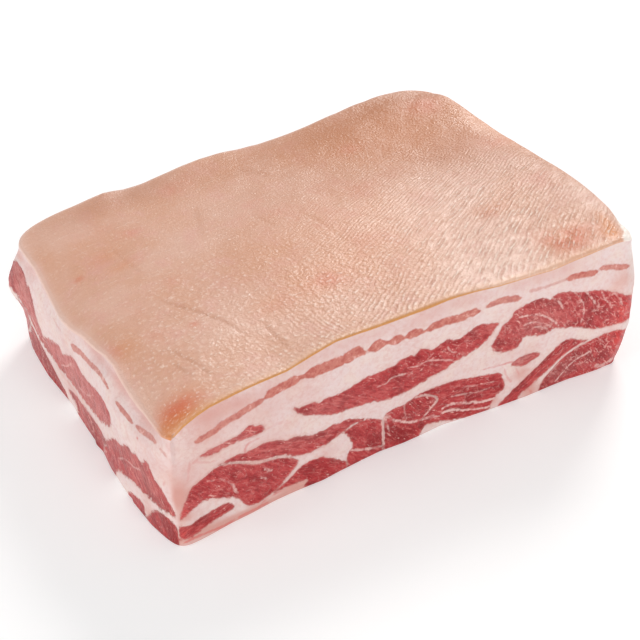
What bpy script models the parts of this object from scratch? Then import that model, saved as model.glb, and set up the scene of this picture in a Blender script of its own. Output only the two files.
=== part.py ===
"""A slab of raw pork belly: rectangular, skin side up, cut clean on its four sides.

The slab is a stack of layers that run right through it. Each layer is one closed solid
between two wavy level surfaces, and the stack is trimmed by the slab's own outline.
Origin: middle of the underside's box. +X along the long side, +Y to the back, +Z up.
"""

import bpy
import numpy as np

# Plan of the slab
LENGTH = 0.2070  # between the two end cuts
DEPTH = 0.1500  # between the front cut and the back cut
CORNER_RADII = (0.003, 0.007, 0.017, 0.016)  # front left, front right, back right, back left
FRONT_HOLLOW = 0.0054  # how far the front cut is drawn in at its middle
HOLLOW_POWER = 1.3  # over 1, so that the hollow dies away before the corners
LEFT_BULGE = 0.0032  # swelling of the left cut near the front corner
LEFT_BULGE_AT = 0.20  # its place, as a share of the depth from the front
LEFT_BULGE_WIDTH = 0.17
LEFT_BULGE_RISE = 5  # how fast the swelling grows from the corner
LEFT_FULLNESS = 0.0012
RIGHT_FULLNESS = 0.0050  # the right cut is rounded outwards over its whole depth
RIGHT_POWER = 0.6  # under 1, so that it is nearly flat between its corners
BACK_FULLNESS = 0.0020
BACK_WAVE = 0.0016  # the back edge is uneven
BACK_WAVE_COUNT = 2.5

CORNER_BLEND = 0.08  # the share of a side over which its section turns into the next side's

# Section of the walls, from the underside (level 0) to the skin (level 1). They turn in at the foot.
FOOT_TUCK = {"front": 0.0014, "right": 0.0050, "back": 0.0030, "left": 0.0012}
FOOT_LEVEL = 0.10
WAIST = {"front": 0.0005, "right": 0.0024, "back": 0.0012, "left": 0.0006}  # a belly at mid height
SKIN_TUCK = {"front": 0.0004, "right": 0.0040, "back": 0.0016, "left": 0.0010}
SKIN_TUCK_LEVEL = 0.60
LOBE = 0.0042  # the fat and lean stand out round the back left corner
LOBE_LEVEL = 0.68
LOBE_HEIGHT = 0.16  # as a share of the slab's height
LOBE_WIDTH = 0.024

# Height of the skin at stations that go round the edge. The first is the front left corner.
STATIONS_PER_SIDE = (8, 4, 4, 4)  # front, right, back, left
SKIN_HEIGHT = (
    # front, left to right
    (0.0505, 0.0585, 0.0600, 0.0615, 0.0615, 0.0612, 0.0605, 0.0612),
    # right end, front to back
    (0.0630, 0.0655, 0.0655, 0.0645),
    # back, right to left
    (0.0645, 0.0612, 0.0572, 0.0552),
    # left end, back to front
    (0.0505, 0.0500, 0.0505, 0.0505),
)
SKIN_ROLL = {"front": 0.0006, "right": 0.0016, "back": 0.0020, "left": 0.0008}
SKIN_ROLL_WIDTH = 0.008
SKIN_SWELL = 0.0012  # broad unevenness of the skin, away from the edge

# Where each layer begins, as a share of the slab's height, at the same stations.
LAYER_LINES = {
    "upper_lean_bottom": (
        (0.710, 0.640, 0.600, 0.450, 0.430, 0.520, 0.490, 0.450),
        (0.360, 0.400, 0.440, 0.450),
        (0.430, 0.450, 0.470, 0.440),
        (0.450, 0.320, 0.420, 0.560),
    ),
    "upper_lean_top": (
        (0.790, 0.700, 0.680, 0.645, 0.690, 0.700, 0.775, 0.750),
        (0.580, 0.640, 0.680, 0.700),
        (0.690, 0.700, 0.680, 0.720),
        (0.800, 0.560, 0.520, 0.660),
    ),
    "streak_top": (
        (0.900, 0.850, 0.905, 0.885, 0.865, 0.855, 0.875, 0.880),
        (0.820, 0.840, 0.850, 0.860),
        (0.860, 0.850, 0.860, 0.865),
        (0.880, 0.760, 0.740, 0.800),
    ),
    "lower_lean_top": (
        (0.560, 0.480, 0.440, 0.355, 0.340, 0.330, 0.340, 0.370),
        (0.320, 0.330, 0.350, 0.360),
        (0.350, 0.360, 0.380, 0.350),
        (0.320, 0.240, 0.340, 0.440),
    ),
}
STREAK_THICKNESS = 0.0022  # the thin band of lean between the back fat and the middle fat
LAYER_WAVE = 0.0009  # the layers rise and fall inside the slab

GAP = 0.0003  # between one layer and the next
CELLS_LONG = 20  # facets along the length
CELLS_DEEP = 14  # facets along the depth
CROWDING = 0.65  # how strongly the facets crowd towards the corners

LAYERS = {
    # name: (lower surface, upper surface, facet rows up the wall, colour, roughness)
    "lower_lean": ("underside", "lower_lean_top", 5, (0.50, 0.11, 0.10), 0.42),
    "seam_fat": ("lower_lean_top", "upper_lean_bottom", 1, (0.80, 0.62, 0.56), 0.50),
    "upper_lean": ("upper_lean_bottom", "upper_lean_top", 2, (0.52, 0.12, 0.11), 0.42),
    "middle_fat": ("upper_lean_top", "streak_bottom", 2, (0.83, 0.68, 0.62), 0.50),
    "lean_streak": ("streak_bottom", "streak_top", 1, (0.68, 0.32, 0.28), 0.45),
    "back_fat": ("streak_top", "skin", 3, (0.80, 0.60, 0.47), 0.55),
}

SIDES = ("front", "right", "back", "left")


def clear_scene():
    for old in list(bpy.data.objects):
        bpy.data.objects.remove(old, do_unlink=True)


def crowded(count):
    """Shares from 0 to 1 in count steps, closer together near both ends."""
    even = np.linspace(0.0, 1.0, count + 1)
    return (1 - CROWDING) * even + CROWDING * (1 - np.cos(np.pi * even)) / 2


def side_walk(share, length, radius_a, radius_b):
    """A walk along one side from the middle of one rounded corner to the middle of the next.

    Returns the distance along the side and the distance in from the side's straight line.
    """
    arc_a = radius_a * np.pi / 4
    arc_b = radius_b * np.pi / 4
    straight = length - radius_a - radius_b
    walked = share * (arc_a + straight + arc_b)
    if walked < arc_a:
        turn = np.pi / 4 + walked / radius_a
        return radius_a * (1 - np.cos(turn)), radius_a * (1 - np.sin(turn))
    left = arc_a + straight + arc_b - walked
    if left < arc_b:
        turn = np.pi / 4 + left / radius_b
        return length - radius_b * (1 - np.cos(turn)), radius_b * (1 - np.sin(turn))
    return radius_a + walked - arc_a, 0.0


def fullness(side, share):
    """How far the cut stands out from its straight line, in metres. It is nothing at the corners."""
    bow = np.sin(np.pi * share)
    if side == "front":
        return -FRONT_HOLLOW * bow**HOLLOW_POWER
    if side == "right":
        return RIGHT_FULLNESS * bow**RIGHT_POWER
    if side == "back":
        wave = BACK_WAVE * np.sin(2 * np.pi * BACK_WAVE_COUNT * share)
        return BACK_FULLNESS * bow + wave * bow
    from_front = 1 - share
    swelling = np.exp(-(((from_front - LEFT_BULGE_AT) / LEFT_BULGE_WIDTH) ** 2))
    return LEFT_FULLNESS * bow + LEFT_BULGE * swelling * min(1.0, bow * LEFT_BULGE_RISE)


def wall_tuck(side, level):
    """How far the wall stands in at this level."""
    foot = FOOT_TUCK[side] * max(0.0, 1 - level / FOOT_LEVEL) ** 1.6
    top = SKIN_TUCK[side] * max(0.0, (level - SKIN_TUCK_LEVEL) / (1 - SKIN_TUCK_LEVEL)) ** 1.5
    return foot + top - WAIST[side] * np.sin(np.pi * level)


def lobe(side_number, share, level):
    """How far the lobe at the back left corner stands out."""
    if SIDES[side_number] == "back":
        away = (1 - share) * LENGTH
    elif SIDES[side_number] == "left":
        away = share * DEPTH
    else:
        return 0.0
    rise = np.exp(-(((level - LOBE_LEVEL) / LOBE_HEIGHT) ** 2))
    return LOBE * rise * np.exp(-((away / LOBE_WIDTH) ** 2))


def tuck_at(side_number, share, level):
    """The wall's tuck, changing evenly from one side's to the next's round the corner."""
    own = wall_tuck(SIDES[side_number], level)
    before = wall_tuck(SIDES[side_number - 1], level)
    after = wall_tuck(SIDES[(side_number + 1) % 4], level)
    start = max(0.0, 1 - share / CORNER_BLEND) / 2
    end = max(0.0, 1 - (1 - share) / CORNER_BLEND) / 2
    tuck = own * (1 - start - end) + before * start + after * end
    return tuck - lobe(side_number, share, level)


def plan_point(side_number, share, level):
    """The outline's point at this share of a side and this level of the wall."""
    side = SIDES[side_number]
    length = LENGTH if side_number % 2 == 0 else DEPTH
    radius_a = CORNER_RADII[side_number]
    radius_b = CORNER_RADII[(side_number + 1) % 4]
    along, inward = side_walk(share, length, radius_a, radius_b)
    inward += tuck_at(side_number, share, level) - fullness(side, share)
    if side == "front":
        return np.array((along - LENGTH / 2, inward - DEPTH / 2))
    if side == "right":
        return np.array((LENGTH / 2 - inward, along - DEPTH / 2))
    if side == "back":
        return np.array((LENGTH / 2 - along, DEPTH / 2 - inward))
    return np.array((inward - LENGTH / 2, DEPTH / 2 - along))


def round_the_edge(values, side_number, share):
    """Reads a row of station values at a share of a side, with a smooth curve through them."""
    ring = [value for side in values for value in side]
    before = sum(STATIONS_PER_SIDE[:side_number])
    place = before + share * STATIONS_PER_SIDE[side_number]
    first = int(np.floor(place))
    t = place - first
    a, b, c, d = (ring[(first + k) % len(ring)] for k in (-1, 0, 1, 2))
    curve = 2 * b + (c - a) * t + (2 * a - 5 * b + 4 * c - d) * t**2
    return (curve + (3 * b - a - 3 * c + d) * t**3) / 2


def across(edges, u, v):
    """Spreads values given on the four edges over the inside (a Coons patch)."""
    front, right, back, left = edges
    sides = (1 - v) * front[u] + v * back[u] + (1 - u) * left[v] + u * right[v]
    corners = (1 - u) * (1 - v) * front[0.0] + u * (1 - v) * front[1.0]
    corners = corners + u * v * back[1.0] + (1 - u) * v * back[0.0]
    return sides - corners


def edge_tables(read):
    """What read(side number, share) gives along the four edges, by share from the left or front."""
    long = crowded(CELLS_LONG)
    deep = crowded(CELLS_DEEP)
    front = {u: read(0, u) for u in long}
    right = {v: read(1, v) for v in deep}
    back = {u: read(2, 1 - u) for u in long}
    left = {v: read(3, 1 - v) for v in deep}
    return front, right, back, left


def skin_roll(x, y):
    """The skin stands higher inside than at its edge, because it rolls down towards each cut."""
    low = 0.0
    gaps = {
        "front": y + DEPTH / 2,
        "right": LENGTH / 2 - x,
        "back": DEPTH / 2 - y,
        "left": x + LENGTH / 2,
    }
    for side, gap in gaps.items():
        low += SKIN_ROLL[side] * np.exp(-max(gap, 0.0) / SKIN_ROLL_WIDTH)
    return -low


def surface_points(name):
    """The grid of points of one level surface, as an array (long, deep, 3)."""
    long = crowded(CELLS_LONG)
    deep = crowded(CELLS_DEEP)
    line = "streak_top" if name == "streak_bottom" else name

    def share_of_height(side_number, share):
        if name == "skin":
            return 1.0
        if name == "underside":
            return 0.0
        return round_the_edge(LAYER_LINES[line], side_number, share)

    def height(side_number, share):
        whole = round_the_edge(SKIN_HEIGHT, side_number, share)
        drop = STREAK_THICKNESS if name == "streak_bottom" else 0.0
        return whole * share_of_height(side_number, share) - drop

    def plan(side_number, share):
        whole = round_the_edge(SKIN_HEIGHT, side_number, share)
        return plan_point(side_number, share, height(side_number, share) / whole)

    heights = edge_tables(height)
    plans = edge_tables(plan)
    points = np.zeros((len(long), len(deep), 3))
    for i, u in enumerate(long):
        for j, v in enumerate(deep):
            x, y = across(plans, u, v)
            z = across(heights, u, v)
            inside = np.sin(np.pi * u) * np.sin(np.pi * v)
            if name == "skin":
                z += skin_roll(x, y) - skin_roll(0.0, 0.0)
                z += SKIN_SWELL * np.sin(7 * u + 1.0) * np.cos(5 * v) * inside
            elif name != "underside":
                z += LAYER_WAVE * np.sin(9 * u + 4 * v) * inside
            points[i, j] = x, y, z
    return points


def ring_order():
    """The grid places of the edge, round the slab from the front left corner."""
    long, deep = CELLS_LONG, CELLS_DEEP
    ring = [(i, 0) for i in range(long)]
    ring += [(long, j) for j in range(deep)]
    ring += [(i, deep) for i in range(long, 0, -1)]
    ring += [(0, j) for j in range(deep, 0, -1)]
    return ring


def ring_sides():
    """For each place of the ring, its side number and its share of that side."""
    long = crowded(CELLS_LONG)
    deep = crowded(CELLS_DEEP)
    places = [(0, u) for u in long[:-1]]
    places += [(1, v) for v in deep[:-1]]
    places += [(2, 1 - u) for u in long[:0:-1]]
    places += [(3, 1 - v) for v in deep[:0:-1]]
    return places


def wall_ring(low_ring, high_ring, part):
    """A ring of wall points between the edges of a layer's two surfaces."""
    ring = []
    for (side_number, share), low, high in zip(ring_sides(), low_ring, high_ring):
        whole = round_the_edge(SKIN_HEIGHT, side_number, share)
        z = low[2] + (high[2] - low[2]) * part
        x, y = plan_point(side_number, share, min(1.0, z / whole))
        ring.append((x, y, z))
    return ring


def layer_mesh(name, low_grid, high_grid, rows):
    """One closed layer: its lower surface, its upper surface and the wall between them."""
    low = low_grid.copy()
    high = high_grid.copy()
    if name != "lower_lean":
        low[..., 2] += GAP / 2
    if name != "back_fat":
        high[..., 2] -= GAP / 2
    wide = CELLS_DEEP + 1
    points = [tuple(p) for p in low.reshape(-1, 3)] + [tuple(p) for p in high.reshape(-1, 3)]
    high_start = low.shape[0] * wide
    faces = []
    for i in range(CELLS_LONG):
        for j in range(CELLS_DEEP):
            a, b = i * wide + j, (i + 1) * wide + j
            faces += [(a, a + 1, b + 1), (a, b + 1, b)]
            a, b = a + high_start, b + high_start
            faces += [(a, b + 1, a + 1), (a, b, b + 1)]
    edge = [i * wide + j for i, j in ring_order()]
    low_ring = [points[k] for k in edge]
    high_ring = [points[k + high_start] for k in edge]
    rings = [edge]
    # the foot curves fast, so the lowest layer's rows crowd towards it
    power = 1.7 if name == "lower_lean" else 1.0
    for row in range(1, rows):
        start = len(points)
        points += wall_ring(low_ring, high_ring, (row / rows) ** power)
        rings.append(list(range(start, start + len(edge))))
    rings.append([k + high_start for k in edge])
    for below, above in zip(rings[:-1], rings[1:]):
        for k in range(len(edge)):
            n = (k + 1) % len(edge)
            faces += [(below[k], below[n], above[n]), (below[k], above[n], above[k])]
    mesh = bpy.data.meshes.new(name)
    mesh.from_pydata(points, [], faces)
    mesh.validate()
    return mesh


def material(name, colour, roughness):
    made = bpy.data.materials.new(name)
    made.use_nodes = True
    shader = made.node_tree.nodes["Principled BSDF"]
    shader.inputs["Base Color"].default_value = (*colour, 1.0)
    shader.inputs["Roughness"].default_value = roughness
    shader.inputs["Metallic"].default_value = 0.0
    return made


def build():
    clear_scene()
    surfaces = {}
    for low, high, _, _, _ in LAYERS.values():
        for surface in (low, high):
            if surface not in surfaces:
                surfaces[surface] = surface_points(surface)
    everything = np.concatenate([grid.reshape(-1, 3) for grid in surfaces.values()])
    middle = (everything.min(axis=0) + everything.max(axis=0)) / 2
    for name, (low, high, rows, colour, roughness) in LAYERS.items():
        mesh = layer_mesh(name, surfaces[low], surfaces[high], rows)
        mesh.shade_smooth()
        mesh.set_sharp_from_angle(angle=np.radians(40))
        mesh.materials.append(material(name, colour, roughness))
        layer = bpy.data.objects.new(name, mesh)
        layer.location = (-middle[0], -middle[1], 0.0)
        bpy.context.scene.collection.objects.link(layer)


build()
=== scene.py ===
# A slab of raw pork belly, skin side up: a thin rind over six layers of fat and lean.
# Every layer is its own closed piece that runs right through the slab.
import math
import bpy
import numpy as np
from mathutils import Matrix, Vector
from mathutils.bvhtree import BVHTree


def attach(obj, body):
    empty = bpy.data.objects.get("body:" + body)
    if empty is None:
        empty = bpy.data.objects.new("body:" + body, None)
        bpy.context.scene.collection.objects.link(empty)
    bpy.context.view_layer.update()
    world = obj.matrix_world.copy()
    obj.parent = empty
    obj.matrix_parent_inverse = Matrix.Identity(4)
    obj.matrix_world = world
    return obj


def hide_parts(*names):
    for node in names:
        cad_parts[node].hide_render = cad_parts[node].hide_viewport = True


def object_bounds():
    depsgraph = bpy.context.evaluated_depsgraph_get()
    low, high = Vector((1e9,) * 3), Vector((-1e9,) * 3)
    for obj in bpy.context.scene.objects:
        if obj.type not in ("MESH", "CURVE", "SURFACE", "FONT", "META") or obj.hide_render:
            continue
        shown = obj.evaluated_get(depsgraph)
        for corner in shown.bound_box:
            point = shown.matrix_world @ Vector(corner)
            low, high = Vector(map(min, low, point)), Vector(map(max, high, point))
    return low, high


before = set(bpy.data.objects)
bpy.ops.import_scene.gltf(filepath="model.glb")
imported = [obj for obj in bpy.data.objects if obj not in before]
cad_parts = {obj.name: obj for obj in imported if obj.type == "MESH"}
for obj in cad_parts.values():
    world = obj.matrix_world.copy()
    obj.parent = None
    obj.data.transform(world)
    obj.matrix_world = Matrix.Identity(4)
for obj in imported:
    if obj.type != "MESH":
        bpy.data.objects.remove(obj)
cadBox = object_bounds()
mm = 0.001  # lengths below are in millimetres, and turn into metres when a mesh is made
scene = bpy.context.scene
print("frame loaded")

slab = {
    "columnsLong": 336,  # mesh columns along the front and the back
    "columnsDeep": 240,  # and along each end
    # piece, the CAD layer that it stands for, mesh rows up the wall, finish
    "layers": (
        ("lowerLean", "lower_lean", 44, "lean"),
        ("seamFat", "seam_fat", 12, "fat"),
        ("upperLean", "upper_lean", 30, "lean"),
        ("middleFat", "middle_fat", 20, "fat"),
        ("leanStreak", "lean_streak", 6, "lean"),
        ("backFat", "back_fat", 16, "fat"),
    ),
    "rindRows": 5,
    "rindThickness": (1.1, 1.5, 1.5, 1.5),  # front, right, back, left
    "rimRadius": (0.8, 2.6, 3.2, 1.2),  # rounding of the skin's edge on the same sides
    "footRadius": 0.8,
    "shoulderDepth": 9,  # on the left the fat slopes out over this height below the skin
    "sampleInset": 24,  # the walls are sampled outwards from a rectangle this far in
    "wallSmoothing": 4.0,
    "cornerSmoothing": 0.7,
    "thinnestLayer": 0.8,
    "columnStep": 0.62,  # between the mesh's columns, about
    "levels": (1, 66),  # heights at which the walls are sampled, one for each millimetre
    "middleLevel": 24,  # the one that stands for the plan
    "sampleReach": 80,
    # one point for every so many columns, on the underside, between the layers and under the rind
    "underGrid": 2, "hiddenGrid": 12, "rindUnderGrid": 4,
    "faceGap": 0.02,  # keeps the hidden faces of two layers apart
}
columnStep = slab["columnStep"]

low = np.array(cadBox[0]) * 1000
high = np.array(cadBox[1]) * 1000
# the cuts' drawings stand upright at the front left bottom corner
drawing = {
    "corner": (low[0] + 5.9, low[1] + 0.6),
    "length": 207,
    "seenFrom": (-142.8, -332.8, 365.3),  # from the corner: where the drawings are looked at
    # height of the skin's edge along the front cut, and along the left one
    "skinFront": ((0, 50.6), (5, 54.2), (10, 56.7), (15, 58.5), (25, 60), (35, 61), (45, 61.5),
                  (50, 62.8), (55, 64.3), (60, 65.5), (65, 66.6), (80, 66.3), (100, 66.5), (113, 67),
                  (125, 66), (135, 64.5), (145, 64), (160, 63), (170, 63.5), (180, 64), (206, 64.5)),
    "skinLeft": ((0, 50.2), (5, 47.2), (9, 45.2), (17, 45), (27, 45.4), (39, 47), (47, 50.2),
                 (55, 49.4), (63, 46.8), (75, 44.6), (88, 40.2), (98, 39.2), (106, 41.8), (114, 46),
                 (121, 48.4), (135, 48.6), (150, 50.5)),
    # how far the foot stands back from the drawings' planes; the left one bulges out
    "footFront": ((0, -1.8), (6, -1.5), (12, -1.0), (20, 0.2), (30, 1.0), (40, 2.3), (50, 2.8),
                  (61, 2.6), (68, 3.5), (80, 4.6), (88, 5.2), (99, 4.6), (108, 5.0), (118, 5.6),
                  (127, 4.6), (140, 3.5), (157, 2.6), (170, 2.8), (178, 2.6), (185, 1.8), (193, 1.2),
                  (200, 1.5)),
    "footLeft": ((0, -1.2), (6, -2.8), (10, -3.6), (15, -4.4), (29, -5.0), (31, -4.5), (33, -4.9),
                 (50, -4.3), (60, -3.0), (65.5, -3.6), (67.5, -2.9), (75, -2.8), (85, -2.4), (90, -1.9),
                 (96, -2.1), (115, -3.0), (125, -2.4), (132, -1.8), (143, -1.2)),
    # how much the skin's rim is raised, against the distance walked round from the front left corner
    "rimRaise": ((192, 0), (200, -0.4), (208, -0.5), (215, 0.3), (225, 1.4), (235, 1.7), (245, 1.5),
                 (255, 1.3), (265, 1.1), (275, 0.5), (285, 0.2), (305, 0), (315, 0.7), (326, 1.6),
                 (336, 1.6), (345, 0.6), (355, 1.4), (365, 2.1), (380, 2.3), (392, 1.7), (402, 1.5),
                 (411, 1.0), (422, -0.1), (439, -0.5), (448, 0.1), (457, 1.1), (467, 2.2), (476, 2.1),
                 (485, 1.4), (495, 0.6), (504, 0.6), (513, 2.4), (522, 1.8), (535, 1.0), (550, 0)),
    # where the wall is fuller: distance round and height, size of the place, how much
    "fuller": (((617, 46), (15, 10), 2.4), ((697, 47), (12, 9), 1.2), ((208, 26), (12, 22), 1.8),
               ((240, 55), (26, 14), 1.0), ((561, 32), (13, 9), 2.4), ((545, 22), (12, 9), 1.2),
               ((211, 60), (11, 9), -0.7), ((218, 3), (9, 7), 2.0), ((4, 7), (10, 4), 1.2)),
}
cornerX, cornerY = drawing["corner"]
spot = np.array(drawing["seenFrom"]) + (cornerX, cornerY, 0)

nu = slab["columnsLong"]
nv = slab["columnsDeep"]
ringSize = 2 * (nu + nv)
sideStarts = (0, nu, nu + nv, 2 * nu + nv)
sideCounts = (nu, nv, nu, nv)


def gradientNoise(points, seed):
    # smooth noise from about -1 to 1, one cell to a unit
    cell = np.floor(points)
    part = points - cell
    cell = cell.astype(np.int64)
    fade = part ** 3 * (part * (part * 6 - 15) + 10)
    total = 0.0
    for corner in range(8):
        step = np.array([corner & 1, corner >> 1 & 1, corner >> 2 & 1])
        at = cell + step
        bits = at[..., 0] * 73856093 ^ at[..., 1] * 19349663 ^ at[..., 2] * 83492791 ^ seed * 668265263
        bits = (bits & 0xFFFFFFFF) * 1274126177
        bits = (bits >> 15) ^ bits
        bits = (bits & 0xFFFFFFFF) * 668265263
        bits = bits >> 9
        away = part - step
        dot = sum(((bits >> 10 * axis & 1023) / 511.5 - 1) * away[..., axis] for axis in range(3))
        weight = np.prod(np.where(step == 1, fade, 1 - fade), axis=-1)
        total = total + weight * dot
    return total * 1.5


def layeredNoise(points, size, seed, octaves=3):
    total = 0.0
    for octave in range(octaves):
        total = total + gradientNoise(points / size * 2 ** octave, seed + octave) * 0.5 ** octave
    return total


def smoothstep(value, start, end):
    share = np.clip((value - start) / (end - start), 0, 1)
    return share * share * (3 - 2 * share)


def smoothRing(values, width):
    # Gaussian smoothing round the ring, width in columns
    frequency = np.fft.rfftfreq(values.shape[0])
    gain = np.exp(-2 * (math.pi * frequency * width) ** 2)
    gain = gain.reshape((-1,) + (1,) * (values.ndim - 1))
    return np.fft.irfft(np.fft.rfft(values, axis=0) * gain, n=values.shape[0], axis=0)


def gaussianWeights(index, width):
    kernel = np.exp(-0.5 * ((index[:, None] - index) / width) ** 2)
    return kernel / kernel.sum(1, keepdims=True)


def smoothGrid(values, width):
    # Gaussian smoothing of a grid, width in cells
    for axis in (0, 1):
        kernel = gaussianWeights(np.arange(values.shape[axis]), width)
        values = np.moveaxis(np.tensordot(kernel, values, axes=(1, axis)), 0, axis)
    return values


def treeOf(names):
    verts = []
    faces = []
    for name in names:
        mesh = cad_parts[name].data
        start = len(verts)
        verts += [v.co.copy() for v in mesh.vertices]
        faces += [[start + i for i in p.vertices] for p in mesh.polygons]
    return BVHTree.FromPolygons(verts, faces)


def heightUnder(tree, x, y):
    # straight down, from well above the slab
    hit = tree.ray_cast(Vector((x * mm, y * mm, 0.2)), Vector((0, 0, -1)))[0]
    return hit.z * 1000 if hit else np.nan


def filled(values):
    # the gaps in a ring of numbers take the values of their neighbours
    index = np.arange(len(values))
    known = ~np.isnan(values)
    return np.interp(index, index[known], values[known], period=len(values))


# the walls, read from the CAD layers and smoothed

layerNodes = [layer[1] for layer in slab["layers"]]
wholeTree = treeOf(layerNodes)
nodeTrees = [treeOf([name]) for name in layerNodes]


def stationsRound(inset, step, fanStep):
    left, right = cornerX + inset, cornerX + drawing["length"] - inset
    front, back = cornerY + inset, high[1] - inset
    corners = ((left, front), (right, front), (right, back), (left, back))
    stations = []
    starts = []
    for side in range(4):
        starts.append(len(stations))
        start = np.array(corners[side])
        end = np.array(corners[(side + 1) % 4])
        heading = side * 90 - 90
        stations += [(start, heading + turn) for turn in np.arange(-45, 0, fanStep)]
        count = round(np.linalg.norm(end - start) / step)
        stations += [(start + (end - start) * share, heading) for share in np.arange(count) / count]
        stations += [(end, heading + turn) for turn in np.arange(0, 45, fanStep)]
    return stations, starts


levels = np.arange(*slab["levels"], dtype=float)
sampling = {
    "step": 2.0, "fanStep": 1.5,  # millimetres along a side, degrees round a corner
    "layerGap": 0.3,  # a dent deeper than this is a gap between two layers
    "usualLevels": 40, "edgeDrop": 9,  # a wall this much short of where it usually is has ended
    "rimInset": 2.5,  # how far in from the wall, and below the rim, its height is good
    "levelSmoothing": 1.6, "rimSmoothing": 4, "outwardSmoothing": 2.5,
    "crispCorner": (6, 18),  # the two front corners stay crisp up to the first distance
}


def sampleWalls():
    stations, starts = stationsRound(slab["sampleInset"], sampling["step"], sampling["fanStep"])
    rimInset = sampling["rimInset"]
    reachFrom = slab["sampleReach"]
    plan = np.zeros((len(stations), len(levels), 2))
    rim = np.zeros(len(stations))
    for row, (base, heading) in enumerate(stations):
        out = np.array((math.cos(math.radians(heading)), math.sin(math.radians(heading))))
        far = base + out * reachFrom
        reach = []
        for z in levels:
            start = Vector((far[0] * mm, far[1] * mm, z * mm))
            hit = wholeTree.ray_cast(start, Vector((-out[0], -out[1], 0)))[0]
            reach.append(np.nan if hit is None else reachFrom - (far - np.array(hit.xy) * 1000) @ out)
        reach = np.array(reach)
        # the thin gaps between the layers are passed over
        for level in range(1, len(levels) - 1):
            around = reach[level - 1:level + 2]
            if not np.isnan(around).any() and reach[level] < np.median(around) - sampling["layerGap"]:
                reach[level] = np.median(around)
        usual = np.nanmedian(reach[:sampling["usualLevels"]])
        gone = np.isnan(reach) | (reach < usual - sampling["edgeDrop"])
        top = np.argmax(gone) if gone.any() else len(levels)
        edge = base + out * (reach[top - 1] - rimInset)
        rim[row] = heightUnder(wholeTree, edge[0], edge[1])
        last = max(3, min(top - 1, int(rim[row] - rimInset)))
        reach[last:] = reach[last - 1]
        plan[row] = base + out * reach[:, None]
    return plan, filled(rim), starts


def alongRing(values, plan, starts):
    # the stations' values at mesh columns that are evenly spaced on each side
    middle = plan[:, slab["middleLevel"]]
    total = len(middle)
    flat = values.reshape(total, -1)
    result = np.zeros((ringSize, flat.shape[1]))
    for side in range(4):
        end = starts[side + 1] if side < 3 else total
        index = np.arange(starts[side], end + 1) % total
        walked = np.r_[0, np.cumsum(np.linalg.norm(np.diff(middle[index], axis=0), axis=1))]
        targets = np.linspace(0, walked[-1], sideCounts[side] + 1)[:-1]
        for column in range(flat.shape[1]):
            place = slice(sideStarts[side], sideStarts[side] + sideCounts[side])
            result[place, column] = np.interp(targets, walked, flat[index, column])
    return result.reshape((ringSize,) + values.shape[1:])


stationPlan, stationRim, stationStarts = sampleWalls()
wallPlan = alongRing(stationPlan, stationPlan, stationStarts)
rimHeight = alongRing(stationRim, stationPlan, stationStarts)
toCorner = np.arange(ringSize)[:, None] - np.array((0, nu))
toCorner = np.abs((toCorner + ringSize / 2) % ringSize - ringSize / 2)
nearFrontCorner = 1 - smoothstep(toCorner.min(1) * columnStep, *sampling["crispCorner"])
blunt = smoothRing(wallPlan, slab["wallSmoothing"] / columnStep)
crisp = smoothRing(wallPlan, slab["cornerSmoothing"] / columnStep)
keep = nearFrontCorner[:, None, None]
wallPlan = crisp * keep + blunt * (1 - keep)
levelWeights = gaussianWeights(levels, sampling["levelSmoothing"])
wallPlan = np.einsum("lm,kmc->klc", levelWeights, wallPlan)
rimHeight = smoothRing(rimHeight, sampling["rimSmoothing"] / columnStep)

middlePlan = wallPlan[:, slab["middleLevel"]]
tangent = np.roll(middlePlan, -1, 0) - np.roll(middlePlan, 1, 0)
tangent /= np.linalg.norm(tangent, axis=1, keepdims=True)
outward = np.stack([tangent[:, 1], -tangent[:, 0]], 1)
# it comes out shorter at the corners, so that moved points never cross
outward = smoothRing(outward, sampling["outwardSmoothing"] / columnStep)
arc = np.r_[0, np.cumsum(np.linalg.norm(np.diff(middlePlan, axis=0), axis=1))]
arcRight, arcBack, arcLeft = arc[nu], arc[nu + nv], arc[2 * nu + nv]
ringLength = arc[-1] + columnStep
print("walls sampled,", round(ringLength), "mm round")


def perSide(values, width=8):
    # one number for each side, eased into the next side's round the corners
    steps = np.concatenate([np.full(count, value, float) for count, value in zip(sideCounts, values)])
    return smoothRing(steps, width / columnStep)


def wallPoints(up):
    # points on the sampled walls at the heights in up, shaped (rows, ring)
    place = np.clip((up - levels[0]) / (levels[1] - levels[0]), 0, len(levels) - 1.001)
    lower = place.astype(int)
    share = (place - lower)[..., None]
    column = np.arange(ringSize)
    plan = wallPlan[column, lower] * (1 - share) + wallPlan[column, lower + 1] * share
    return np.concatenate([plan, up[..., None]], -1)


def ontoFront(points):
    # where a point is seen on the front drawing: distance along it and height
    share = (cornerY - spot[1]) / (points[..., 1] - spot[1])
    along = spot[0] + (points[..., 0] - spot[0]) * share - cornerX
    return along, spot[2] + (points[..., 2] - spot[2]) * share


def ontoLeft(points):
    share = (cornerX - spot[0]) / (points[..., 0] - spot[0])
    along = spot[1] + (points[..., 1] - spot[1]) * share - cornerY
    return -along, spot[2] + (points[..., 2] - spot[2]) * share


def roundedIn(depth, radius):
    # how far a rounded edge has turned in, at a depth below its top
    rest = np.clip(radius - depth, 0, radius)
    return radius - np.sqrt(np.maximum(radius ** 2 - rest ** 2, 0))


frontColumns = np.arange(0, nu)
leftSide = np.arange(2 * nu + nv, ringSize)


def shoulderSize():
    # on the left the skin's edge stays on the drawing's plane, and the fat below it slopes out
    size = np.zeros(ringSize)
    bulge = cornerX + 0.2 - wallPoints(np.full((1, ringSize), 45.0))[0, leftSide, 0]
    size[leftSide] = np.clip(bulge, 0, 7) * smoothstep(arc[leftSide] - arcLeft, 2, 20)
    return smoothRing(size, 2 / columnStep)


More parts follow.
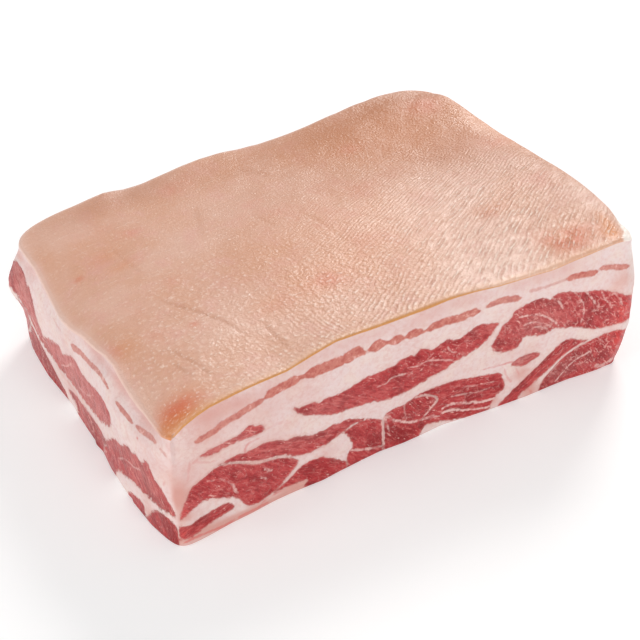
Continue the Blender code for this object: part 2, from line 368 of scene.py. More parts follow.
def footOffset():
    # extra inset at the foot, from the drawn foot lines
    base = wallPoints(np.full((1, ringSize), 3.0))[0]
    offset = np.zeros(ringSize)
    x, y = base[frontColumns, 0] - cornerX, base[frontColumns, 1] - cornerY
    fade = 1 - smoothstep(arc[frontColumns], arcRight - 16, arcRight - 2)
    offset[frontColumns] = (np.interp(x, *np.array(drawing["footFront"], float).T) - y) * fade
    x, y = base[leftSide, 0] - cornerX, base[leftSide, 1] - cornerY
    fade = smoothstep(arc[leftSide] - arcLeft, 4, 22)
    offset[leftSide] = (np.interp(y, *np.array(drawing["footLeft"], float).T) - x) * fade
    return smoothRing(offset, 0.6 / columnStep)


def shapedWall(up, rim):
    # the wall with its rounded rim, the sloping shoulder on the left, and its foot
    points = wallPoints(up)
    depth = rim - up
    turnedIn = roundedIn(depth, perSide(slab["rimRadius"]))
    turnedIn = turnedIn + shoulder * (1 - smoothstep(depth, 0.8, slab["shoulderDepth"]))
    turnedIn = turnedIn + roundedIn(up, slab["footRadius"])
    for (place, z), (wide, tall), amount in drawing["fuller"]:
        turnedIn = turnedIn - amount * np.exp(-((arc - place) / wide) ** 2 - ((up - z) / tall) ** 2)
    footEnd = np.where(np.arange(ringSize) < nu + nv, 7.0, 15.0)
    turnedIn = turnedIn + footInset * (1 - smoothstep(up, 1.5, footEnd))
    points[..., :2] -= outward * turnedIn[..., None]
    # the foot's near corner is evened out, so that its columns never cross
    even = np.swapaxes(smoothRing(np.swapaxes(points, 0, 1), 1.5 / columnStep), 0, 1)
    fromCornerEdge = np.minimum(arc, ringLength - arc)
    share = np.exp(-(fromCornerEdge / 4) ** 2) * (1 - smoothstep(up, 12, 20))
    points[..., :2] += (even - points)[..., :2] * share[..., None]
    return points


rimHeight = rimHeight + np.interp(arc, *np.array(drawing["rimRaise"], float).T)
shoulder = shoulderSize()
footInset = footOffset()


def layerHeights():
    # heights of the layers' borders at the wall, then the rind's underside and the rim
    inset = middlePlan - outward * 2.5
    columns = np.arange(0, ringSize, 4)
    lines = []
    for tree in nodeTrees[:-1]:
        found = np.array([heightUnder(tree, *inset[k]) for k in columns])
        full = np.interp(np.arange(ringSize), columns, filled(found), period=ringSize)
        lines.append(smoothRing(full, 3 / columnStep))
    thickness = perSide(slab["rindThickness"])
    rind = rimHeight - thickness
    frontLine = np.array(drawing["skinFront"], float)
    leftLine = np.array(drawing["skinLeft"], float)
    for attempt in range(3):
        points = shapedWall(rind[None], rind + thickness)[0]
        change = np.zeros(ringSize)
        along, seen = ontoFront(points[frontColumns])
        change[frontColumns] = np.interp(along, *frontLine.T) - seen - 0.6
        along, seen = ontoLeft(points[leftSide])
        wanted = np.interp(-along, *leftLine.T) - seen - 0.3
        change[leftSide] = wanted * smoothstep(arc[leftSide] - arcLeft, 6, 30)
        change *= 1 - smoothstep(arc, arcRight - 18, arcRight) * (arc < arcBack)
        rind = rind + smoothRing(change, 0.8 / columnStep)
    lines += [rind, rind + thickness]
    stack = [np.zeros(ringSize)]
    for line in lines:
        stack.append(np.maximum(line, stack[-1] + slab["thinnestLayer"]))
    return np.array(stack)


borders = layerHeights()
counts = [layer[2] for layer in slab["layers"]] + [slab["rindRows"]]
rowStarts = np.r_[0, np.cumsum(counts)]
heights = np.concatenate([
    borders[i] + (borders[i + 1] - borders[i]) * (np.arange(n) / n)[:, None] for i, n in enumerate(counts)
] + [borders[-1:]])
wall = shapedWall(heights, heights[-1])
print("layer borders found,", wall.shape[0], "rows up the wall")


def wallNormals(points):
    along = np.roll(points, -1, 1) - np.roll(points, 1, 1)
    up = np.gradient(points, axis=0)
    normal = np.cross(along, up)
    return normal / np.maximum(np.linalg.norm(normal, axis=-1, keepdims=True), 1e-9)


# what the cuts show: muscles, the thin streak and the white membranes, in millimetres on the drawings

cut = {
    "farCornerGap": (6, 6, 9),  # how far before the corner, how wide, how deep
    "farCornerTurn": (-14, 2),  # where the left cut's drawing starts and is whole, from that corner
    # outline on the drawing, direction of the fibres in degrees
    "muscles": (
        # front cut, upper row
        (((47.5, 43.5), (50, 42.6), (53, 42.8), (56, 42.7), (58, 41.6), (60, 42.3), (66, 42.3),
          (70, 42.8), (75, 44.2), (80, 45), (85, 45.2), (90, 45.4), (93, 46.7), (97, 46.9), (99, 46.3),
          (101, 48.2), (104, 47.5), (106.5, 45.8), (110, 47.1), (113, 48.2), (116, 47), (118.5, 46.3),
          (122, 47.6), (126, 48.7), (130, 48.6), (134, 47.3), (136.7, 46.3), (135, 44), (133, 41.5),
          (130, 39.5), (124, 37.3), (117, 36), (113, 34.3), (110, 33.5), (105, 32.8), (100, 31.5),
          (95, 30.8), (90, 30.4), (84, 31), (80, 32.3), (75, 32.9), (70, 33.1), (65, 33.3), (60, 34.9),
          (55, 37), (52, 38.3), (49, 40.6)), -32),
        (((134.5, 36.5), (136, 39.5), (137.5, 42), (139, 44.5), (142, 45.8), (143.3, 47.3), (144, 49),
          (148, 50.2), (152, 50.6), (155, 51), (159, 50), (160.8, 48.2), (162.5, 49.3), (165, 50),
          (168, 49.5), (172, 47.9), (176, 46.8), (180, 45.5), (186, 44), (190, 42), (196, 38.8),
          (202, 35.5), (210, 34.5), (220, 36), (234, 39), (248, 41), (262, 40), (269, 36), (262, 31),
          (240, 28), (222, 25), (208, 22.8), (200, 22.6), (195, 23), (190, 23.8), (185, 25),
          (180, 27.5), (175, 29.7), (170, 31.3), (165, 33), (160, 32), (155, 33.3), (151, 34.7),
          (149, 33), (147, 31.2), (143, 30.8), (139, 31.5), (136, 33.5)), -48),
        (((10, 38), (12, 39.2), (15, 40), (20, 40.6), (25, 41.2), (27, 42.3), (28.3, 43.2), (29.7, 44),
          (31.5, 42.8), (35, 41.3), (35.3, 39.3), (32, 38.1), (25, 38.4), (20, 37.8), (16, 36.7),
          (13, 37)), -20),
        # front cut, middle row
        (((16.5, 31), (20, 31.5), (24, 32.3), (27, 31.8), (30, 32), (34, 32.8), (38, 32.4), (41, 31.5),
          (44, 30), (47, 30.3), (50, 29.5), (54, 28), (60, 28), (63, 28.7), (66, 28.4), (70, 28.6),
          (72, 27.7), (75, 26.5), (77.5, 25.3), (73, 25), (69, 24), (66, 22.5), (62, 21), (57, 20.2),
          (52, 19.8), (49, 20.5), (46, 22), (43, 23.5), (38, 24.5), (34, 25.5), (30, 26.5), (26, 28),
          (22, 29.8)), -24),
        (((1, 13), (2, 17), (4, 21), (5.5, 24.5), (8, 26.3), (10, 27.5), (14, 29.6), (17, 30.4),
          (20, 29.8), (24, 28.5), (28, 26.4), (32, 24.5), (37, 23.8), (42, 22.9), (46, 20.8),
          (49, 18.5), (48, 16), (45, 13), (42, 10), (38, 7.5), (34, 6), (30, 5.5), (27, 7), (25, 10.5),
          (23, 12.7), (18, 14.7), (14, 16.4), (11, 17), (8, 16), (5, 14), (2.5, 12.8)), -42),
        # front cut, lower row
        (((0.4, 10), (2, 9), (5, 8.2), (8, 9.6), (12, 10.6), (16, 11.3), (20, 11.6), (22, 9.6),
          (22.4, 8), (20, 7.4), (16, 6.4), (12, 5), (8, 3.3), (4, 2.3), (1, 2.6), (0, 5), (0, 8)), 18),
        (((39, 7.3), (42, 9), (45, 10.8), (47.2, 12.6), (50, 14.5), (53, 15.5), (57, 15.6), (60, 14.8),
          (63, 13), (66, 10.8), (69, 8.8), (70, 6), (69, 1), (60, 0), (54, 1), (51.3, 4.6), (53, 6.4),
          (50, 7.5), (45, 7.2)), -34),
        (((68.5, 22.8), (71, 24), (75, 25), (79, 24.8), (83, 23.2), (85.3, 21.3), (86.8, 18),
          (86.5, 14), (86.5, 10), (86.5, 1), (72, 1), (70, 7.3), (69.8, 10.3), (70.5, 12.8),
          (72.2, 14.5), (71.6, 17), (70.2, 20.5)), -50),
        (((85.4, 22), (87, 24.2), (90, 24.9), (95, 24.7), (98, 25.8), (101, 26), (105, 25.2),
          (108.8, 23), (111, 20.3), (109, 17), (106, 14.8), (103.4, 13.5), (104, 10), (102.5, 6),
          (101, 1), (86, 1), (85, 8), (85.2, 15)), -44),
        (((97, 25.3), (102, 27), (107, 27.3), (115, 27), (120, 26.2), (125, 25), (129, 24.2),
          (133, 23.2), (137, 22.2), (140, 21), (141.7, 17), (142.5, 13), (140, 11.5), (138, 9.5),
          (136.4, 6.5), (135, 4.4), (128, 5), (120, 6.5), (112, 8.7), (106, 9.8), (103, 8.6), (101, 10),
          (102, 13), (105, 15), (109, 18), (109.4, 22), (105, 24.5), (100, 25)), -20),
        (((145, 23.5), (148, 25), (152, 25.4), (156, 25), (159, 23), (156, 21.6), (152, 20.4),
          (148, 21)), -10),
        (((140.5, 5), (143, 7), (146, 9.6), (150, 12), (155, 15), (160, 18.6), (164, 21), (168, 23.6),
          (172, 25), (175, 24.2), (180, 21.6), (184, 20), (181, 19), (176, 18.6), (172, 17),
          (168, 15.3), (164, 12.8), (160, 10.5), (156, 8), (151, 6), (149, 2), (142, 2)), 28),
        (((160.6, 3), (161, 6), (163, 9.4), (165.6, 12), (168.8, 14.7), (173, 16.8), (178, 18.3),
          (184, 19.4), (188, 20), (196, 19.8), (201, 18.8), (208, 17), (222, 17.5), (245, 20),
          (270, 21), (286, 18), (290, 12), (286, 5), (275, -1), (203, -1), (190, -1), (175, -1),
          (165, 3)), -52),
        (((272, 29), (277, 33), (284, 35.4), (290, 34.6), (293, 31.4), (288, 27.6), (279, 25.8)), -30),
        (((298, 27), (305, 23.6), (318, 21.4), (334, 20.6), (350, 21.6), (366, 22.7), (382, 23),
          (382, 35), (366, 34.8), (352, 36.4), (340, 40.6), (328, 42.4), (316, 40), (306, 35.4),
          (300, 31)), -38),
        (((300, -1), (301, 5), (307, 10.6), (318, 14.4), (331, 13.2), (344, 11.6), (356, 14.6),
          (366, 17), (382, 17.2), (382, -1)), -60),
        # left cut, upper row
        (((-2, 15), (-7, 16.7), (-12, 18.6), (-17, 19.5), (-22, 21.6), (-25, 21.4), (-28.5, 18),
          (-30.5, 17.8), (-34, 18.2), (-36.5, 16), (-41, 17.2), (-44, 15), (-48, 12), (-52, 11.4),
          (-56, 9), (-60, 5.5), (-62, 3.5), (-64, 1), (-65.5, -2), (-66.6, -6), (-66, -13), (-58, -13),
          (-55, -7), (-52, -4), (-48, -3), (-42, -1), (-36, 0.5), (-33, 1.5), (-27, 3), (-22, 4.5),
          (-16, 6.5), (-10, 9), (-5, 11.5), (-2, 13)), -58),
        (((-55, 18), (-55.5, 21.5), (-58, 23.3), (-60, 24.6), (-65, 25.2), (-70, 24.6), (-75, 24),
          (-80, 23.4), (-83, 24.6), (-86, 26), (-90, 25.6), (-94, 23.5), (-97, 22), (-100, 20),
          (-101.5, 19.3), (-103.5, 21.8), (-107, 21), (-112, 19), (-118, 17), (-121, 15), (-124, 17.5),
          (-127, 20), (-129, 24), (-130.5, 29), (-132, 34), (-134, 32.5), (-136.5, 38), (-140, 39),
          (-146, 39), (-158, 36), (-170, 27), (-165, 19), (-150, 18.4), (-146, 18.4), (-140, 17.2),
          (-134, 14.5), (-130, 12), (-125, 10), (-120, 9), (-110, 9), (-100, 9.3), (-90, 9.5),
          (-82, 9.5), (-75, 9.8), (-68, 10), (-62, 11.5), (-57, 14)), -58),
        # left cut, lower row
        (((-2, 8), (-6, 7.6), (-12, 6), (-15, 4.6), (-17, 3), (-20, 1), (-22, -1), (-24, -3.5),
          (-26, -6), (-29, -13), (-5, -13), (0, -6), (-0.3, 0), (-0.5, 5)), -60),
        (((-31, -5), (-36, -6), (-40, -7), (-44, -9), (-45, -14), (-31, -14), (-30.5, -8)), -40),
        (((-64, 2), (-66, 3.3), (-68, 4.3), (-72, 5.2), (-78, 5.2), (-84, 5.6), (-90, 5.4), (-95, 4.4),
          (-99, 2.4), (-97, 0.8), (-92, 0), (-90, -4), (-88, -13), (-67, -13), (-66.8, -6),
          (-65.5, -1)), -50),
        (((-103, -2), (-108, 0), (-113, 1.5), (-118, 4), (-124, 6.5), (-130, 10), (-135, 12), (-137, 9),
          (-139.5, 6), (-143, 5), (-146, 2), (-148, -12), (-100, -12)), -50),
        (((-136, 12), (-138, 15.5), (-141, 17.2), (-146, 17), (-152, 15), (-156, 9), (-152, 1),
          (-146, 1), (-140, 7)), -60),
    ),
    # path of each dash of the thin streak, thickness, strength
    "dashes": (
        (((9, 45.3), (15, 47), (20, 48.8), (25, 50), (30, 51.6), (35.5, 53)), 2.4, 0.9),
        (((36, 53.2), (40, 54.6), (45, 55.5), (50.6, 56.1)), 3.7, 1.0),
        (((51.5, 56), (58, 56.7), (65, 56.8), (69, 57)), 4.4, 1.0),
        (((66, 57), (70, 57.4), (73, 57.9), (76.6, 56.6)), 5.0, 1.0),
        (((78.5, 57), (82, 57.7), (86, 57.5)), 4.4, 1.0),
        (((86.9, 57.4), (90, 57.2), (93.2, 56.6)), 4.1, 1.0),
        (((94, 56.7), (98, 57.1), (101.8, 56)), 3.2, 1.0),
        (((103.2, 56.2), (108, 57.1), (113, 56.9), (118, 56.2)), 3.4, 1.0),
        (((115, 56.3), (119, 56.3), (123, 56.4), (127, 55.4)), 3.2, 1.0),
        (((130.5, 56.5), (136, 57), (140, 56.4), (146, 54.6)), 2.7, 0.9),
        (((150, 56.4), (158, 55.5), (170, 55.4)), 0.9, 0.5),
        (((168, 55.5), (175, 54.9), (180, 53.7), (183.5, 53.2)), 2.6, 1.0),
        (((185, 54.3), (190, 53.1), (195, 51.4), (200, 50.4)), 2.1, 0.9),
        (((205, 50.6), (216, 51.8), (228, 52)), 2.6, 0.9),
        (((232, 52), (240, 53), (252, 53), (258, 52)), 3.1, 0.9),
        (((262, 52), (270, 51)), 2.2, 0.8),
        (((277, 50), (288, 50.4), (302, 52)), 2.8, 0.8),
        (((308, 52.4), (318, 52), (326, 50.6)), 2.1, 0.7),
        (((337, 51), (350, 50.6), (362, 50.4)), 2.5, 0.85),
        (((-5.5, 38.9), (-11, 38)), 1.3, 0.45),
        (((-13.5, 39.3), (-19, 37.9), (-24, 36), (-30.5, 33.6)), 2.8, 0.75),
        (((-33.5, 33.4), (-40, 33.1), (-47.5, 32.5)), 3.5, 0.8),
        (((-53.5, 35.2), (-58, 36.4), (-62, 37.2), (-70, 35.6), (-78, 35), (-83, 33.7),
          (-88.5, 32)), 2.9, 0.8),
        (((-98, 33), (-106, 34)), 1.2, 0.3),
    ),
    # path of each membrane, thickness, strength
    "membranes": (
        (((86, 24), (85.5, 20), (85.9, 15), (86.1, 10), (86.4, 2)), 1.0, 0.8),
        (((86, 24.2), (88, 21.8), (90, 19.4), (94, 16.6), (98, 14.6), (103, 13.6),
          (109, 13)), 0.9, 0.8),
        (((86.6, 22), (87.6, 18), (88.6, 14.5)), 0.5, 0.5),
        (((100, 25.9), (105, 25), (108.3, 23), (110.3, 20.6), (108.7, 18.4), (106, 15.8),
          (104.6, 14.6)), 0.8, 0.7),
        (((95, 25), (95.5, 21), (96.5, 17)), 0.4, 0.35),
        (((113, 14.6), (117, 15), (122, 13.6), (127, 11.8), (132, 10), (138.6, 9.2)), 0.8, 0.8),
        (((113, 12.5), (117, 12.2), (122, 10.2), (127, 8.3), (132, 6.8), (136, 6)), 0.8, 0.8),
        (((112, 11.5), (104, 13.4)), 0.7, 0.6),
        (((117, 19), (123, 17.6), (129, 16.2), (136, 15.4)), 0.5, 0.45),
        (((122, 21.5), (130, 19.4), (137, 18)), 0.45, 0.35),
        (((71.5, 13), (75, 11.4), (80, 9.8), (85.5, 8.6)), 0.9, 0.6),
        (((146.5, 45.2), (151.7, 44.4), (158.5, 41.7), (163.9, 37.2), (167.4, 33.2)), 0.55, 0.8),
        (((149.4, 40.4), (154.6, 40), (160.7, 36.6), (164.2, 33.5)), 0.4, 0.55),
        (((152.5, 37.2), (156.6, 37), (161, 34.4)), 0.4, 0.5),
        (((161.6, 49), (165.4, 46), (168.3, 41.6)), 0.5, 0.6),
        (((173, 47.6), (176.4, 43.4), (178.7, 39.7), (179.6, 34.9), (178.6, 29.8)), 0.4, 0.6),
        (((178.8, 46), (182.3, 41.6), (184.6, 38.3), (187, 34.6)), 0.5, 0.65),
        (((187, 43.4), (189.4, 39), (192, 35.4), (194, 32.8)), 0.4, 0.55),
        (((194.4, 39.4), (198, 35), (200.4, 30.8)), 0.45, 0.6),
        (((83, 38.3), (86.5, 38.6), (88.5, 39.8), (93, 39.6), (98, 38.8)), 0.5, 0.6),
        (((96, 41.6), (100, 40.8), (105, 41.2), (110, 39.6), (115, 37.6), (117.5, 36)), 0.5, 0.55),
        (((113.5, 44.5), (115.5, 41.2), (118, 40.2)), 0.5, 0.5),
        (((19, 30), (24, 28.8), (28, 27.2), (33, 25.4), (38, 24.3), (44, 23)), 0.8, 0.8),
        (((22.5, 19), (23.2, 16), (24, 14)), 0.8, 0.6),
        (((12.5, 25.5), (18, 23.6), (21.5, 20), (23, 17)), 0.4, 0.3),
        (((35, 21.5), (36.5, 19.5), (38, 18.5)), 1.2, 0.8),
        (((33.5, 17.5), (35.5, 15.8)), 0.7, 0.5),
        (((162, 9.8), (165.6, 13), (169.8, 16), (176.3, 18.5), (183.1, 19.6), (190, 19.6)), 0.6, 0.85),
        (((164.4, 9.2), (166.9, 12), (169.6, 14.2)), 0.4, 0.5),
        (((169, 5), (173.4, 9), (177.3, 11.5), (181.5, 12.6), (186, 13.6)), 0.5, 0.65),
        (((188.6, 19.4), (190.9, 17.2), (193, 15)), 0.4, 0.5),
        (((189.4, 4.6), (194.3, 3), (199, 4.6)), 1.3, 0.5),
        (((-30, 13), (-38, 9), (-45, 7), (-52, 2)), 0.5, 0.4),
        (((-72, 19), (-78, 15), (-86, 13)), 0.5, 0.35),
        (((-92, 21), (-98, 15.5), (-104, 12)), 0.5, 0.4),
        (((-118, 14), (-126, 12.5), (-134, 17)), 0.6, 0.4),
        (((215, 12), (228, 14), (242, 9), (256, 11)), 0.8, 0.6),
        (((226, 32), (238, 34), (252, 33)), 0.7, 0.6),
        (((262, 8), (268, 12), (276, 13)), 0.5, 0.5),
        (((308, 31), (321, 34), (338, 30.6)), 0.6, 0.55),
        (((330, 24), (338, 27), (349, 28)), 0.5, 0.45),
        (((314, 4), (327, 8.4), (342, 5.6)), 0.6, 0.5),
    ),
    # thin veins and threads of lean in the fat: path, thickness, strength
    "threads": (
        (((27.6, 32), (27.8, 34), (29, 35.6), (33, 36.2)), 0.5, 0.5),
        (((5, 29.5), (5.4, 33), (6, 37.5)), 0.6, 0.22),
        (((7, 36.6), (9, 37.6)), 0.8, 0.3),
        (((131.2, 26.6), (136.1, 25.7), (141.7, 25.1), (146, 24.4)), 0.5, 0.6),
        (((141.6, 22.6), (143, 18.6), (145.6, 14.6)), 0.5, 0.4),
        (((147.6, 20.2), (149.4, 16.6)), 0.6, 0.35),
        (((154, 8), (157, 4.6)), 0.7, 0.4),
        (((34, 5.1), (38, 6.2), (43, 7)), 0.4, 0.5),
        (((8, 37), (12, 34.6), (16, 33.4)), 0.4, 0.3),
        (((36, 39.2), (42, 39.4), (46, 38)), 1.0, 0.12),
        (((-30.2, 28.8), (-31, 27.6)), 0.8, 0.7),
        (((-8, 25), (-10, 22)), 0.9, 0.25),
        (((292, 18), (297, 21), (304, 20)), 0.5, 0.4),
        (((2, 1.2), (9, 1.5), (15, 1.2), (22, 2.0)), 0.9, 0.7),
        (((24, 2.4), (31, 3.2), (36, 3.9)), 0.9, 0.6),
    ),
    # where a net of white fat runs through the lean
    "marbled": (
        ((188, 34), (30, 14), 0.65), ((186, 10), (22, 10), 0.6), ((240, 30), (40, 20), 0.4),
        ((326, 30), (26, 12), 0.4), ((336, 5), (30, 7), 0.3), ((122, 18), (20, 9), 0.25),
        ((28, 18), (22, 9), 0.15), ((93, 20), (12, 6), 0.25), ((112, 41), (16, 5), 0.35),
        ((150, 44), (12, 8), 0.45), ((-78, 0), (22, 6), 0.6), ((-120, 2), (24, 8), 0.5),
        ((60, 24), (16, 5), 0.2), ((30, 41), (6, 3), 0.6),
    ),
    # darker and brighter places in the lean: centre, size along and up, strength
    "tones": (
        ((96.5, 9.6), (6, 3.4), -1.0), ((12, 7.4), (5, 2), -0.7), ((11, 20.6), (8, 3), -0.45),
        ((28, 12), (6, 5), -0.35), ((56, 8.6), (6, 3.4), -0.3), ((90, 14), (4, 5), -0.45),
        ((58, 4), (8, 1.2), -0.6), ((100, 18), (8, 4), -0.6), ((150, 9), (5, 3), -0.35),
        # the bright places at 201 and 203 along are a painted highlight on the rounded right corner
        ((203, 29), (5, 10), 0.7), ((201, 13), (5, 9), 0.6), ((195, 28), (9, 9), 0.3),
        ((193, 12), (8, 7), 0.2), ((178, 9), (14, 5), -0.5), ((190, 35), (10, 8), -0.3),
        ((2, 4.5), (2.4, 3), 0.9), ((1.6, 20), (2.2, 4), 0.6), ((3, 15.5), (3, 3), 0.5),
        ((17, 38.6), (5, 2), 0.45), ((31, 40.5), (4, 3), 0.5), ((64, 36), (8, 4), 0.2),
        ((50, 24), (6, 3), 0.2), ((-10, 0), (11, 7), -1.3), ((-74, 1), (14, 3), -0.8),
        ((-114, 1), (22, 7), -1.2), ((-141, 9), (6, 8), -0.6), ((-132, 5), (7, 5), -0.35),
        ((-25, 12), (14, 6), -0.15),
    ),
    # paler, drier places in the lean
    "faded": (
        ((-95, 18), (40, 12), 0.75), ((-30, 12), (30, 9), 0.4), ((-142, 30), (12, 14), 0.9),
        ((-78, 2), (20, 6), 0.15), ((-112, 4), (20, 7), 0.15), ((50, 28), (26, 5), 0.25),
        # the narrow pale places at 206.6 and 208.4 along are a painted highlight on the rounded right
        # corner
        ((208.4, 28), (2.2, 12), 0.5), ((206.6, 12), (2.2, 9), 0.5), ((157, 40), (14, 8), 0.35),
        ((20, 39), (14, 4), 0.5), ((60, 38), (14, 5), 0.25), ((135, 46), (10, 4), 0.2),
        ((150, 24), (6, 3), 0.7), ((172, 10), (10, 8), 0.2),
    ),
    # pinker places in the fat
    "flushes": (
        ((1, 24), (4, 5), 0.35), ((4, 12), (4, 2), 0.6), ((30, 3), (26, 2.2), 0.8),
        ((48, 6), (8, 2), 0.6), ((156, 6), (5, 4), 0.9), ((150, 17), (6, 4), 0.75),
        ((138, 8), (4, 3), 0.5), ((62, 16), (5, 3), 0.4), ((74, 8), (6, 2), 0.7),
        ((197, 44), (7, 6), 0.55), ((198, 51), (4, 2), 0.4), ((182, 57), (14, 2), 0.2),
        ((25, 55), (16, 3), 0.2), ((-2, 30), (4, 12), 0.1), ((-26, -6), (5, 4), 0.5),
        ((-58, -4), (6, 3), 0.5), ((-140, 45), (8, 5), 0.7), ((-100, 3), (10, 3), 0.4),
        ((-94, 7), (18, 1.6), 0.6), ((8, 32), (32, 26), 0.36), ((20, 56), (30, 6), 0.4),
        ((1, 22), (3, 7), 0.5), ((205, 59), (7, 8), -1.2), ((214, 58), (9, 7), -0.4),
        ((90, 63), (70, 4.5), 0.36), ((160, 61), (32, 4), 0.3), ((-30, 46), (40, 8), 0.35),
        ((-90, 46), (60, 7), 0.25), ((130, 30), (14, 3), 0.2), ((-60, 28), (80, 8), 0.15),
        ((60, 0), (90, 5), 0.85), ((148, 28), (14, 3), 0.4), ((-60, 46), (90, 3), 0.2),
    ),
}


def throughPoints(points, closed, steps):
    # a smooth line through the given points
    points = np.array(points, float)
    if closed:
        before, after, later = np.roll(points, 1, 0), np.roll(points, -1, 0), np.roll(points, -2, 0)
        here = points
    else:
        here = points[:-1]
        after = points[1:]
        before = np.vstack([2 * points[0] - points[1], points[:-2]])
        later = np.vstack([points[2:], 2 * points[-1] - points[-2]])
    t = (np.arange(steps) / steps)[None, :, None]
    a, b, c, d = (p[:, None] for p in (before, here, after, later))
    line = b + 0.5 * t * (c - a + t * (2 * a - 5 * b + 4 * c - d + t * (3 * (b - c) + d - a)))
    line = line.reshape(-1, 2)
    return line if closed else np.vstack([line, points[-1]])


def toLine(spots, line, closed):
    # the distance from each spot to a line, and how far along the line its nearest place is
    start = line if closed else line[:-1]
    end = np.roll(line, -1, 0) if closed else line[1:]
    step = end - start
    length = np.maximum((step ** 2).sum(1), 1e-12)
    nearest = np.full(len(spots), 1e9)
    place = np.zeros(len(spots))
    for begin in range(0, len(spots), 4000):
        part = spots[begin:begin + 4000]
        from0 = part[:, None] - start
        share = np.clip((from0 * step).sum(-1) / length, 0, 1)
        squared = ((from0 - share[..., None] * step) ** 2).sum(-1)
        best = squared.argmin(1)
        rows = np.arange(len(part))
        nearest[begin:begin + 4000] = np.sqrt(squared[rows, best])
        place[begin:begin + 4000] = (best + share[rows, best]) / len(start)
    return nearest, place


def isInside(spots, outline):
    after = np.roll(outline, -1, 0)
    inside = np.zeros(len(spots), bool)
    for (x0, y0), (x1, y1) in zip(outline, after):
        if y0 == y1:
            continue
        crosses = (y0 > spots[:, 1]) != (y1 > spots[:, 1])
        at = x0 + (spots[:, 1] - y0) * (x1 - x0) / (y1 - y0)
        inside ^= crosses & (spots[:, 0] < at)
    return inside


def nearby(spots, line, reach):
    return ((spots > line.min(0) - reach) & (spots < line.max(0) + reach)).all(1)


def drawLines(spots, lines, taper):
    # how far inside the drawn lines each spot is; the ends of a line taper
    depth = np.full(len(spots), -4.0)
    strength = np.zeros(len(spots))
    for points, thickness, amount in lines:
        line = throughPoints(points, False, 6)
        near = np.flatnonzero(nearby(spots, line, 5))
        if not len(near):
            continue
        away, place = toLine(spots[near], line, False)
        length = np.linalg.norm(np.diff(line, axis=0), axis=1).sum()
        toEnd = np.minimum(place, 1 - place) * length
        half = thickness / 2 * (1 - taper + taper * smoothstep(toEnd, -0.3, thickness * 0.7))
        inside = half - away
        better = inside > depth[near]
        depth[near[better]] = inside[better]
        strength[near[better]] = amount
    return depth, strength


def spotsOn(spots, places):
    total = np.zeros(len(spots))
    for (a, z), (wide, tall), amount in places:
        total += amount * np.exp(-(((spots[:, 0] - a) / wide) ** 2) - ((spots[:, 1] - z) / tall) ** 2)
    return total


def readDrawing(along, up):
    # the drawings' fields at wall points: along and up are arrays of one shape
    spots = np.stack([along.ravel(), up.ravel()], 1)
    lean = np.full(len(spots), -5.0)
    fibre = np.zeros((len(spots), 3))
    for index, (points, angle) in enumerate(cut["muscles"]):
        outline = throughPoints(points, True, 4)
        near = np.flatnonzero(nearby(spots, outline, 5))
        if not len(near):
            continue
        away = toLine(spots[near], outline, True)[0]
        away = np.where(isInside(spots[near], outline), away, -away)
        better = away > lean[near]
        chosen = near[better]
        lean[chosen] = away[better]
        turn = math.radians(angle)
        centred = spots[chosen] - outline.mean(0)
        fibre[chosen, 0] = centred[:, 0] * math.cos(turn) + centred[:, 1] * math.sin(turn)
        fibre[chosen, 1] = centred[:, 1] * math.cos(turn) - centred[:, 0] * math.sin(turn)
        fibre[chosen, 2] = 17.0 * index
    streak, streakStrength = drawLines(spots, cut["dashes"], 0.7)
    membrane, membraneStrength = drawLines(spots, cut["membranes"], 0.6)
    thread, threadStrength = drawLines(spots, cut["threads"], 0.6)
    fields = {
        "lean": lean, "fibre": fibre, "streak": streak, "streakStrength": streakStrength,
        "membrane": membrane, "membraneStrength": membraneStrength,
        "thread": thread, "threadStrength": threadStrength,
        "tone": spotsOn(spots, cut["tones"]), "flush": spotsOn(spots, cut["flushes"]),
        "faded": spotsOn(spots, cut["faded"]), "marbled": spotsOn(spots, cut["marbled"]),
    }
    return {name: value.reshape(along.shape + value.shape[1:]) for name, value in fields.items()}


def steadySteps(values, least):
    # makes values grow by at least the given steps from column to column
    steps = np.maximum(np.diff(values, axis=1), least[None, :])
    return np.concatenate([values[:, :1], values[:, :1] + np.cumsum(steps, axis=1)], 1)


